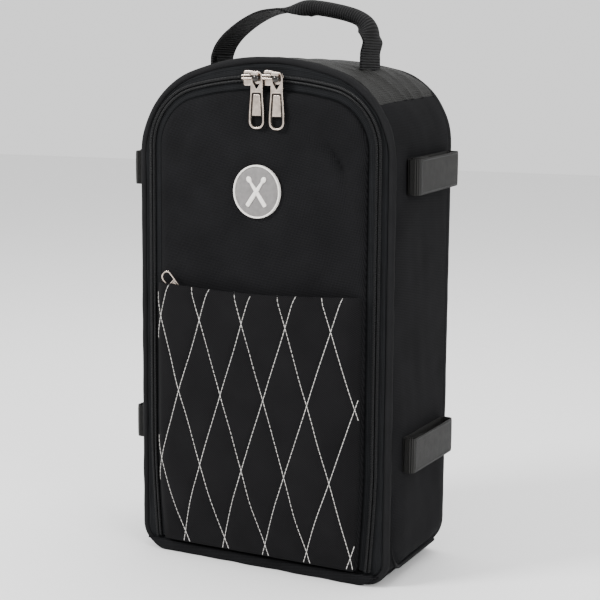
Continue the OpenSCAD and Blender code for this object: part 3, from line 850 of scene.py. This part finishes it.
def on_line(k, way, d):
    """Place in X and Z of a point d millimetres along the stitch line number k of one slant."""
    x = CROSS_AT[0] + k * CROSS_X + way * d * CROSS_X / CROSS_RUN
    x = float(np.interp(x, across_cloth, across_x, -POCKET_HALF, POCKET_HALF))
    return x, CROSS_AT[1] + d * CROSS_Z / CROSS_RUN


def on_pocket(x, z):
    """A place in X and Z laid on the pocket's face, or over its rolled mouth where it is higher."""
    edge = float(mouth(x)) - ROLL
    if z <= edge:
        return x, float(pocket_face(np.array(x), np.array(z))) - 0.12, z
    angle = min((z - edge) / ROLL, 2.2)
    y = float(pocket_face(np.array(x), np.array(edge))) + ROLL * (1 - math.cos(angle))
    return x, y - 0.12, edge + ROLL * math.sin(angle)


def quilt_threads():
    """White stitches along both slants, on the pocket's face and a little way over its mouth."""
    starts, ends = [], []
    for way in (1, -1):
        for k in range(-9, 10):
            for at in range(-80, 81):
                a = on_line(k, way, at * STITCH_STEP)
                b = on_line(k, way, at * STITCH_STEP + STITCH)
                within = max(abs(a[0]), abs(b[0])) <= POCKET_HALF - 0.4
                if within and min(a[1], b[1]) >= POCKET_LOW[2] + 1.2 and b[1] - float(mouth(b[0])) <= 2.5:
                    starts.append(on_pocket(*a))
                    ends.append(on_pocket(*b))
    made = strands("quilt_thread", lean(np.array(starts)), lean(np.array(ends)), 0.32, belly=0.18)
    dress(made, "lid", white_thread)


quilt_threads()


def pocket_zipper():
    """Zipper on the lid's face, seen over the mouth: an angled tape and both rows of its coil."""
    low, high = limits("pocket_zipper_tape")
    coil_low, coil_high = limits("pocket_zipper_coil")
    chain_z, lip_t = (coil_low[2] + coil_high[2]) / 2, 0.8
    profile = np.array([
        (Y_LID - 0.1, high[2]), (Y_LID - lip_t, high[2] - 0.3), (Y_LID - lip_t, chain_z + 0.3),
        (Y_LID - lip_t, chain_z - 0.3), (Y_LID - lip_t - 0.2, low[2] + 1.2),
        (Y_LID - lip_t - 1.2, low[2] + lip_t), (low[1] + 0.2, low[2] + lip_t + 0.3),
        (low[1] + 0.2, low[2] + 0.3), (Y_LID - 1.2, low[2]), (Y_LID - 0.1, low[2] + 0.8)])
    rings = points(np.linspace(low[0] + 0.3, high[0] - 0.3, 90)[:, None], profile[:, 0], profile[:, 1])
    rings[..., 1] += 0.12 * tape_ripple(rings)
    x, z = rings[..., 0], rings[..., 2]
    behind = pocket_face(x, np.minimum(z, mouth(x) - ROLL)) + 2 * ROLL + 0.4
    rings[..., 1] = np.maximum(rings[..., 1], np.minimum(behind, Y_LID - 0.3))
    dress(tube("pocket_tape", rings), "lid", tape, ("pocket_zipper_tape",))
    at = np.arange(coil_low[0] + 1, coil_high[0] - 1, 1.1)
    starts, ends = [], []
    for side in (1, -1):
        z0, z1 = chain_z + side * 0.25, chain_z + side * ((coil_high[2] - coil_low[2]) / 2 - 0.35)
        starts.append(points(at + 0.27 * side, Y_LID - lip_t - 0.75, z0))
        ends.append(points(at + 0.27 * side + 0.6, Y_LID - lip_t - 0.5, z1))
    made = strands("pocket_coil", np.vstack(starts), np.vstack(ends), 0.48, belly=0.45)
    dress(made, "lid", coil_nylon, ("pocket_zipper_coil",))


pocket_zipper()


# ---- Badge --------------------------------------------------------------------------

def lathe(name, profile, centre):
    """Turned piece about an axis along Y; profile is (radius, y) from its front round to its back."""
    profile = np.array(profile, float)
    a = around(96)[:, None]
    x = centre[0] + profile[:, 0] * np.cos(a)
    z = centre[2] + profile[:, 0] * np.sin(a)
    return tube(name, points(x, profile[:, 1], z), closed=True, sharp=35)


def badge_stick(name, centre, y_face, angle, lift, gone):
    """Half-raised drum stick across the badge, with a round tip, a taper and a rounded butt."""
    s = np.array([0, 0.4, 1.2, 9, 17, 22.5, 25.0, 26.2, 27.4, 29.1, 30.4, 31.0])[:, None]
    r = np.array([0.8, 1.7, 2.0, 2.0, 1.85, 1.4, 1.15, 1.8, 2.4, 2.35, 1.5, 0.3])[:, None]
    a = around(16)
    across, up = np.cos(a) * r, s - s[-1] / 2
    x = centre[0] + across * math.cos(angle) - up * math.sin(angle)
    z = centre[2] + across * math.sin(angle) + up * math.cos(angle)
    y = y_face - 0.25 - lift - np.sin(a) * np.minimum(r, 1.6) * 0.55
    dress(tube(name, points(x, y, z)), "lid", white_enamel, gone)


def badge():
    """Raised ring, grey face and two crossed drum sticks."""
    low, high = limits("badge_rim")
    centre, radius = (low + high) / 2, (high[0] - low[0]) / 2
    face_low, face_high = limits("badge_face")
    face_r, y_face = (face_high[0] - face_low[0]) / 2 + 0.9, face_low[1]
    y0, y1 = low[1], high[1]
    ring = [(face_r, y0 + 0.9), (face_r + 0.25, y0 + 0.3), (face_r + 0.8, y0 + 0.03), (radius - 0.9, y0),
            (radius - 0.35, y0 + 0.15), (radius - 0.05, y0 + 0.6), (radius, y0 + 1.2), (radius, y1 - 0.1),
            (radius - 0.3, y1 + 0.3), (face_r, y1 + 0.3)]
    disc = [(0.0, y_face - 0.35), (face_r * 0.35, y_face - 0.33), (face_r * 0.7, y_face - 0.22),
            (face_r - 0.6, y_face - 0.02), (face_r - 0.05, y_face + 0.15), (face_r - 0.05, y1 + 0.3),
            (0.0, y1 + 0.3)]
    dress(lathe("badge_ring", ring, centre), "lid", white_enamel, ("badge_rim",))
    dress(lathe("badge_disc", disc, centre), "lid", grey_enamel, ("badge_face",))
    badge_stick("badge_stick_a", centre, y_face, 0.62, 0.0, ())
    badge_stick("badge_stick_b", centre, y_face, -0.62, 0.45, ("badge_emblem",))


badge()


# ---- Zipper sliders and pulls -------------------------------------------------------

def rounded(corners, radius, steps=6):
    """Polygon with its corners rounded; radius is one number or one for each corner."""
    corners = np.array(corners, float)
    radii = np.broadcast_to(radius, len(corners))
    out = []
    for k, corner in enumerate(corners):
        before, after = corners[k - 1] - corner, corners[(k + 1) % len(corners)] - corner
        la, lb = np.linalg.norm(before), np.linalg.norm(after)
        before, after = before / la, after / lb
        angle = math.acos(max(-1, min(1, float(before @ after))))
        cut = min(radii[k] / math.tan(angle / 2), la * 0.48, lb * 0.48)
        a, b = corner + before * cut, corner + after * cut
        bulge = math.sin(angle / 2)
        for t in np.linspace(0, 1, steps):
            middle = 2 * t * (1 - t) * bulge
            out.append((a * (1 - t) ** 2 + corner * middle + b * t ** 2) / ((1 - t) ** 2 + middle + t ** 2))
    return np.array(out)


def plate(loops, y0, y1, edge):
    """Stamped plate in X and Z from y0 back to y1, with rolled edges; later loops are holes."""
    curve = bpy.data.curves.new("plate", "CURVE")
    curve.dimensions = "2D"
    curve.fill_mode = "BOTH"
    curve.bevel_depth = edge * MM
    curve.bevel_resolution = 2
    curve.offset = -edge * MM
    curve.extrude = max((y1 - y0) / 2 - edge, 0.01) * MM
    for loop in loops:
        spline = curve.splines.new("POLY")
        spline.points.add(len(loop) - 1)
        for point, (px, pz) in zip(spline.points, loop):
            point.co = (px * MM, pz * MM, 0, 1)
        spline.use_cyclic_u = True
    holder = add_object("plate_curve", curve)
    bpy.context.view_layer.update()
    made = bpy.data.meshes.new_from_object(holder.evaluated_get(bpy.context.evaluated_depsgraph_get()))
    bpy.data.objects.remove(holder)
    made.transform(Matrix(((1, 0, 0, 0), (0, 0, -1, (y0 + y1) / 2 * MM), (0, 1, 0, 0), (0, 0, 0, 1))))
    return made


def ball(centre, radius, flat):
    """Round button or post whose axis is along Y."""
    bm = bmesh.new()
    bmesh.ops.create_uvsphere(bm, u_segments=28, v_segments=16, radius=radius * MM)
    bmesh.ops.transform(bm, matrix=Matrix.Diagonal((1, flat, 1, 1)), verts=bm.verts)
    bmesh.ops.translate(bm, vec=Vector(centre) * MM, verts=bm.verts)
    mesh = bpy.data.meshes.new("ball")
    bm.to_mesh(mesh)
    bm.free()
    return mesh


def joined(name, parts, matrix):
    """One object from several (mesh, finish number) pairs, placed by a matrix in metres."""
    bm = bmesh.new()
    for mesh, finish in parts:
        count = len(bm.faces)
        bm.from_mesh(mesh)
        bm.faces.ensure_lookup_table()
        for face in bm.faces[count:]:
            face.material_index = finish
        bpy.data.meshes.remove(mesh)
    bmesh.ops.remove_doubles(bm, verts=bm.verts, dist=4e-6)
    bmesh.ops.transform(bm, matrix=matrix, verts=bm.verts)
    return finished(name, bm, bpy.data.meshes.new(name), 35)


def slider_parts():
    """Slider along X with its post at the origin, as in the CAD part; it stands out towards -Y."""
    body = rounded([(-14, -6.5), (-8, -6.5), (2.4, -4.5), (4, -2.3),
                    (4, 2.3), (2.4, 4.5), (-8, 6.5), (-14, 6.5)], [1.8, 2.5, 1.5, 1.2, 1.2, 1.5, 2.5, 1.8])
    neck = rounded([(-8.5, -2), (-2, -1.4), (-2, 1.4), (-8.5, 2)], 0.8)
    hood = rounded([(-13.6, -1.2), (-2.6, -1.2), (-2.6, 1.2), (-4.4, 4.2), (-7.0, 4.4), (-13.6, 3.2)],
                   [0.7, 0.8, 1.0, 1.4, 1.4, 0.9])
    rib_low = rounded([(-13.4, -1.0), (-3.0, -1.0), (-3.0, 0.3), (-13.4, 0.3)], 0.5)
    rib_high = rounded([(-13.4, 1.5), (-4.2, 1.7), (-5.4, 3.4), (-13.4, 2.7)], 0.5)
    leg = rounded([(-13.4, -1.6), (-11.0, -1.6), (-11.0, 3.2), (-13.4, 3.2)], 0.6)
    cap = rounded([(-5.6, 2.4), (3.0, 2.0), (2.0, 4.6), (-3.2, 5.6)], 1.1)
    # Finish 1 is nickel with painted shade, for the recessed neck and hood and the post under the pull
    bright, dark, mirror_dark = 0, 1, 2
    return [(plate([body], -3.6, -2.1, 0.4), bright),
            (plate([body * (0.97, 0.94)], -1.3, 0.0, 0.35), bright),
            (plate([rib_low], -8.8, -7.5, 0.4), bright),
            (plate([rib_high], -8.6, -7.5, 0.4), bright),
            (plate([leg], -6.5, -3.0, 0.3), bright),
            (plate([cap], -8.4, -6.9, 0.5), bright),
            (plate([neck], -2.3, -1.1, 0.2), dark),
            (plate([hood], -7.6, -6.6, 0.4), dark),
            (ball((0, -5.4, 0), 1.25, 2.6), dark),
            (ball((0, -7.6, -0.2), 3.1, 0.62), mirror_dark)]


def pull_parts(ring_only=False):
    """Flat pull that hangs down from a post at the origin, with a shield eye and a half-round hole.

    With ring_only, its hole is longer and its walls thinner, with bars across the top of the hole.
    """
    y0, y1 = -6.0, -4.2
    outline = rounded([(-7.5, -43), (7.5, -43), (7.3, -30), (6.0, -14.2), (5.7, 1.0), (3.4, 5.6), (-3.4, 5.6),
                       (-5.7, 1.0), (-6.0, -14.2), (-7.3, -30)], [7.4, 7.4, 6, 8, 4, 3.6, 3.6, 4, 8, 6], 8)
    inner = rounded([(-6.1, -41.6), (6.1, -41.6), (5.9, -30), (4.6, -12.2), (-4.6, -12.2), (-5.9, -30)],
                    [5.9, 5.9, 4, 1.6, 1.6, 4], 8)
    eye, rim_eye = (rounded([(-3.9, top), (-3.9, -3.4), (0, point), (3.9, -3.4), (3.9, top)],
                            [1.8, 1.4, 0.6, 1.4, 1.8]) for top, point in ((3.4, -9.4), (3.6, -9.6)))
    top, half = (-25.0, 5.6) if ring_only else (-32.4, 5.1)
    hole = rounded([(-half, -41.1), (half, -41.1), (half - 0.3, top), (0.3 - half, top)],
                   [5.2, 5.2, 0.7, 0.7], 8)
    low = top + 0.7
    panel = rounded([(-4.3, low), (4.3, low), (3.1, -13.8), (-3.1, -13.8)], [0.5, 0.5, 1.2, 1.2])
    # Finish 1, on the back plate seen through the eye and the hole, is nickel with painted shade; finish 0 is
    # plain nickel
    parts = [(plate([outline, eye[::-1], hole[::-1]], y0 + 0.8, y1, 0.3), 1),
             (plate([outline * (0.985, 0.998), inner[::-1], rim_eye[::-1]], y0, y0 + 1.15, 0.25), 0),
             (plate([panel], y0 + 0.15, y0 + 1.15, 0.3), 0)]
    if ring_only:
        for z in (top + 0.6, top - 1.4):
            bar = rounded([(-5.8, z - 0.7), (5.8, z - 0.7), (5.8, z + 0.7), (-5.8, z + 0.7)], 0.5)
            parts.append((plate([bar], y0 - 0.3, y0 + 1.3, 0.4), 0))
    return parts


def place(origin, scale=1.0, tilt=0.0, mirror=False):
    """Matrix that scales, turns about Y and moves a part made about the origin."""
    turned = Matrix.Translation(Vector(origin) * MM) @ Matrix.Rotation(tilt, 4, "Y")
    return turned @ Matrix.Scale(scale, 4) @ Matrix.Diagonal((-1 if mirror else 1, 1, 1, 1))


def main_slider(side):
    """One of the two main sliders, turned to lie along the chain, with its pull hanging straight down."""
    middle, post = joint_at("left_slider_run"), joint_at(side + "_pull_swivel")
    at = (post[0], middle[1], post[2])
    along_chain = math.atan2(post[0] - middle[0], post[2] - middle[2])
    made = joined("runner_" + side, slider_parts(), place(at, tilt=along_chain))
    dress(made, side + "_slider", (nickel, nickel_painted_shade, chrome), ("slider_" + side,))
    made = joined("tab_" + side, pull_parts(), place(at))
    dress(made, side + "_pull", (nickel, nickel_painted_shade), ("pull_" + side,))


def pocket_slider(scale=0.72):
    """The pocket's smaller slider, with its pull turned up and to the left."""
    post = joint_at("pocket_pull_swivel")
    at = (post[0], limits("pocket_slider")[1][1], post[2])
    made = joined("runner_pocket", slider_parts(), place(at, scale, mirror=True))
    dress(made, "pocket_runner", (nickel, nickel_painted_shade, chrome), ("pocket_slider",))
    made = joined("tab_pocket", pull_parts(ring_only=True), place(at, scale, tilt=math.radians(135)))
    dress(made, "pocket_tab", (nickel, nickel_painted_shade), ("pocket_pull",))


main_slider("left")
main_slider("right")
pocket_slider()


# ---- Webbing loops ------------------------------------------------------------------

LOOP_T, TAIL_T = 1.5, 1.3
LEFT_OUT, LEFT_FORWARD = 5.5, 5         # how far the left loops stand out and forward of the CAD ones


def band_path(x0, x1, y0, y1, r, steps=8):
    """Rounded rectangle in X and Y that starts at its front outer corner."""
    return np.vstack([
        turn((x1 - r, y0 + r), r, -math.pi / 2, 0, steps), [(x1, y0 + r)],
        line((x1, y0 + r + 2), (x1, y1 - r - 2), 26), turn((x1 - r, y1 - r), r, 0, math.pi / 2, steps),
        turn((x0 + r, y1 - r), r, math.pi / 2, math.pi, steps), [(x0, y1 - r)],
        line((x0, y1 - r - 2), (x0, y0 + r + 2), 26),
        turn((x0 + r, y0 + r), r, math.pi, 1.5 * math.pi, steps)])


def web(name, path, z0, z1, thick, closed, tilt, mirror, gone=(), sway=0.0):
    """Flat webbing on edge that follows a path in X and Y between two heights."""
    rows = np.linspace(0, 1, 13)
    hem = (1 - 0.25 * (np.abs(2 * rows - 1) > 0.9))[None, :, None]
    bow = (sway * np.sin(math.pi * rows))[None, :, None]
    z = z0 + (z1 - z0) * rows[None, :] + tilt * (path[:, 1, None] - path[:, 1].mean())
    normal = normals(path, closed)[:, None]
    sides = []
    for sign in (0.5, -0.5):
        flat = path[:, None] + normal * (thick * sign * hem + bow)
        sides.append(points(flat[..., 0] * mirror, flat[..., 1], z))
    made = between(name, *sides, points(lengths(path)[:, None], (z1 - z0) * rows), wrap=closed)
    dress(made, "case", webbing, gone)


def loop_stitches(name, x, low, high, tilt, mirror):
    """Rows of stitches along both edges of a loop and down its front fold."""
    middle = (low[1] + high[1]) / 2
    starts, ends = [], []
    for row in (1.6, high[2] - low[2] - 1.6):
        for y in np.arange(low[1] + 7, high[1] - 8, 3.4):
            z = low[2] + row + tilt * (y - middle)
            starts.append((mirror * x, y, z))
            ends.append((mirror * x, y + 2.5, z + 2.5 * tilt))
    y = low[1] + 6.2
    for z in np.arange(low[2] + 2.5, high[2] - 3.5, 3.2):
        z = z + tilt * (y - middle)
        starts.append((mirror * x, y, z))
        ends.append((mirror * x, y, z + 2.4))
    made = strands(name, starts, ends, 0.32, up=(mirror, 0, 0))
    dress(made, "case", black_thread)


def webbing_loop(level, side, mirror, tilt):
    """Side loop with the strap's own end folded back inside it, behind its front fold."""
    name = f"loop_{level}_{side}"
    low, high = limits(name)
    x0, x1 = (low[0], high[0]) if mirror > 0 else (-high[0], -low[0] + LEFT_OUT)
    low = low - (0, 0 if mirror > 0 else LEFT_FORWARD, 0)
    path = band_path(x0 + 1.2, x1 - 0.8, low[1] + 0.8, high[1] - 0.8, 3.6)
    bow = ripples(50 + len(name), 70)
    path = path + points(0.5 * bow(points(path[:, 0], path[:, 1], 0)), 0)
    web("web_" + name, path, low[2], high[2], LOOP_T, True, tilt, mirror, (name,), 0.15)
    tail = np.array([(x1 - 2.9, low[1] + 24), (x1 - 2.9, low[1] + 12), (x1 - 3.2, low[1] + 7),
                     (x1 - 5.2, low[1] + 3.6), (x1 - 8.0, low[1] + 3.4), (x0 + 2.6, low[1] + 6)])
    web("tail_" + name, resample(tail, 1.6), low[2] + 0.6, high[2] - 0.6, TAIL_T, False, tilt, mirror)
    loop_stitches("stitch_" + name, x1 + 0.05, low, high, tilt, mirror)


for level, tilt in (("upper", 0.05), ("lower", 0.02)):
    webbing_loop(level, "right", 1, tilt)
    webbing_loop(level, "left", -1, tilt)


# ---- Handle -------------------------------------------------------------------------

PIVOT_Z = joint_at("handle_lean")[2]
SPAN, RISE = 150.0, 45.0
WIDE, STRAP_T = 36.0, 2.1
# Shares of half the span and of the rise, from the left end to the right one
ROUTE = [(-1, -0.24), (-1, 0.0), (-0.99, 0.1), (-0.93, 0.3), (-0.8, 0.52), (-0.58, 0.76), (-0.34, 0.92),
         (-0.06, 0.97), (0.18, 1.0), (0.5, 0.93), (0.82, 0.79), (1, 0.58), (1.03, 0.34), (1, 0.12), (1, 0.0),
         (1, -0.24)]


def smooth_route(knots, steps):
    """Smooth curve through its knots."""
    knots = np.array(knots)
    knots = np.vstack([knots[:1], knots, knots[-1:]])
    out = []
    for k in range(1, len(knots) - 2):
        a, b, c, d = knots[k - 1:k + 3]
        for t in np.linspace(0, 1, steps, endpoint=False):
            out.append(0.5 * (2 * b + t * (c - a) + t * t * (2 * a - 5 * b + 4 * c - d)
                              + t ** 3 * (3 * b - 3 * c + d - a)))
    out.append(knots[-2])
    return np.array(out)


def handle():
    """Strap that lies flat at its sewn ends and is folded in half along its grip."""
    route = resample(smooth_route(ROUTE, 12) * (SPAN / 2, RISE) + (0, PIVOT_Z), 1.25)
    s = lengths(route)
    grip_from, grip_to = (s[np.argmin(np.abs(route[:, 0] - x) + (route[:, 1] < PIVOT_Z + above) * 999)]
                          for x, above in ((20, 30), (66, 20)))
    fold = (smooth(grip_from - 30, grip_from + 6, s) * (1 - smooth(grip_to - 4, grip_to + 26, s)))[:, None]
    rows = np.linspace(-1, 1, 29)
    bend = np.maximum(fold, 0.02) * math.pi * 0.985
    radius = WIDE / 2 / bend
    narrow = 1 - 0.10 * hump(s - grip_from, -16, 12)[:, None]
    wide = radius * np.sin(rows * bend) * (1 + fold * 0.25) * narrow
    deep = radius * (1 - np.cos(rows * bend))
    deep = (deep - deep.mean(axis=1, keepdims=True)) * (1 - fold * 0.05)
    up = normals(route, closed=False)
    dw, dd = np.gradient(wide, axis=1), np.gradient(deep, axis=1)
    size = np.hypot(dw, dd)
    faces = []
    for offset in (STRAP_T / 2, -STRAP_T / 2):
        w, d = wide - dd / size * offset, deep + dw / size * offset
        flat = route[:, None] + up[:, None] * d[..., None]
        faces.append(points(flat[..., 0], w, flat[..., 1]))
    made = between("handle_webbing", *faces, points(s[:, None], rows * WIDE / 2), sharp=70)
    made.data.materials.append(strap)
    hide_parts("handle_strap", "handle_grip")
    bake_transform(made)


def handle_anchor(side):
    """Sewn end of the handle on the crown, rounded at its upper corners."""
    low, high = limits("handle_anchor_" + side)
    y = np.linspace(-14, 14, 15)[:, None]
    top = high[2] - 2.0 * (np.abs(y) / 14) ** 4
    t = np.linspace(0, 1, 12)
    z = (low[2] + 0.2) * (1 - t) + top * t
    face = points(high[0], y, z)
    made = between("anchor_" + side, face, face - (high[0] - low[0], 0, 0), points(z, y))
    dress(made, "case", strap, ("handle_anchor_" + side,))


handle()
handle_anchor("left")
handle_anchor("right")


# ---- Stick sleeves inside -----------------------------------------------------------

DIVIDERS, SHEET_T = 5, 1.0
panel_low, panel_high = limits("sleeve_panel")
divider_low, divider_high = limits("sleeve_dividers")
first_x = divider_low[0] + 0.6
divider_pitch = (divider_high[0] - divider_low[0] - 1.2) / (DIVIDERS - 1)
floor_line = arch(**FRONT, inset=WALL + LINING)[:FLOOR_N + HEEL_N + 2]


def floor_z(x):
    """Height of the lined floor, which rises into the case's lower corners."""
    return np.interp(np.abs(x), floor_line[:, 0], floor_line[:, 1])


def sleeve_panel():
    """Cloth of the sleeves, full between the dividers, with a bound hem along its top."""
    x = np.linspace(panel_low[0] + 0.6, panel_high[0] - 0.6, 161)[:, None]
    t = np.linspace(0, 1, 60)
    foot = floor_z(x) + 0.2
    z = foot + (panel_high[2] - foot) * t
    scallop = np.abs(np.sin(math.pi * (x - first_x) / divider_pitch)) ** 0.8
    y = (panel_low[1] + panel_high[1]) / 2 - 1.7 * scallop * smooth(0, 1, t)
    y = y + 0.25 * small_ripple(points(x, y, z)) * scallop
    made = between("sleeve_cloth", points(x, y - SHEET_T / 2, z), points(x, y + SHEET_T / 2, z), points(x, z))
    dress(made, "case", lining_cloth, ("sleeve_panel",))
    low, high = limits("sleeve_binding")
    a = around(16)
    hem_z = (low[2] + high[2]) / 2 + (high[2] - low[2]) / 2 * blunt(np.sin(a), 0.35)
    rings = points(x, y[:, -1:] + 1.15 * blunt(np.cos(a), 0.6), hem_z)
    dress(tube("sleeve_hem", rings), "case", binding, ("sleeve_binding",))


def divider(k):
    """Cloth between two sleeves, from the back lining to the sleeve cloth; the end ones are flat."""
    x = first_x + k * divider_pitch
    z = np.linspace(float(floor_z(x)) + 0.3, divider_high[2], 40)
    y = np.linspace(panel_high[1] - 0.2, Y_IN_BACK - 0.1, 12)
    slack = 0 if k in (0, DIVIDERS - 1) else 0.5
    sway = slack * np.sin(z / 22 + k)[:, None] * np.sin(math.pi * (y - y[0]) / (y[-1] - y[0]))
    face, rear = (points(x + side * SHEET_T / 2 + sway, y, z[:, None]) for side in (-1, 1))
    made = between(f"divider_{k}", face, rear, points(y, z[:, None]))
    dress(made, "case", lining_cloth, ("sleeve_dividers",) if k == 0 else ())


sleeve_panel()
for k in range(DIVIDERS):
    divider(k)


# ---- Stage, lights and camera -------------------------------------------------------

mesh = bpy.data.meshes.new("floor")
mesh.from_pydata([(-6, -6, 0), (6, -6, 0), (6, 6, 0), (-6, 6, 0)], [], [(0, 1, 2, 3)])
mesh.materials.append(shade("studio_floor", (0.86, 0.86, 0.86), 0.7)[0])
add_object("floor", mesh)

world = bpy.data.worlds.new("studio")
world.use_nodes = True
world.node_tree.nodes["Background"].inputs[0].default_value = (1, 1, 1, 1)
world.node_tree.nodes["Background"].inputs[1].default_value = 1.25
bpy.context.scene.world = world


def softbox(name, at, aim, size, power):
    """Square soft light; places and size in metres, power in watts."""
    lamp = bpy.data.lights.new(name, "AREA")
    lamp.shape = "RECTANGLE"
    lamp.size, lamp.size_y = size, size
    lamp.energy = power
    holder = add_object(name, lamp)
    holder.location = at
    holder.rotation_euler = (Vector(aim) - Vector(at)).to_track_quat("-Z", "Y").to_euler()


softbox("key", (-1.3, -1.6, 1.7), (0, 0, 0.25), 0.7, 75)
softbox("fill", (1.9, -0.9, 1.0), (0, 0, 0.25), 1.0, 30)
softbox("top", (0.2, 0.4, 2.2), (0, 0, 0.2), 1.4, 30)

lens = bpy.data.cameras.new("camera")
lens.sensor_width = 36
lens.lens = 86.31
lens.clip_end = 60
camera = add_object("camera", lens)
yaw, pitch_down, roll = (math.radians(v) for v in (28.294, 8.358, 0.462))
level_out = math.cos(pitch_down)
ahead = Vector((-math.sin(yaw) * level_out, math.cos(yaw) * level_out, -math.sin(pitch_down)))
right = Vector((math.cos(yaw), math.sin(yaw), 0))
up = right.cross(ahead)
side_way = math.cos(roll) * right + math.sin(roll) * up
up_way = -math.sin(roll) * right + math.cos(roll) * up
camera.matrix_world = Matrix.Translation((0.6186, -1.1346, 0.4233)) @ Matrix(
    (side_way, up_way, -ahead)).transposed().to_4x4()
bpy.context.scene.camera = camera
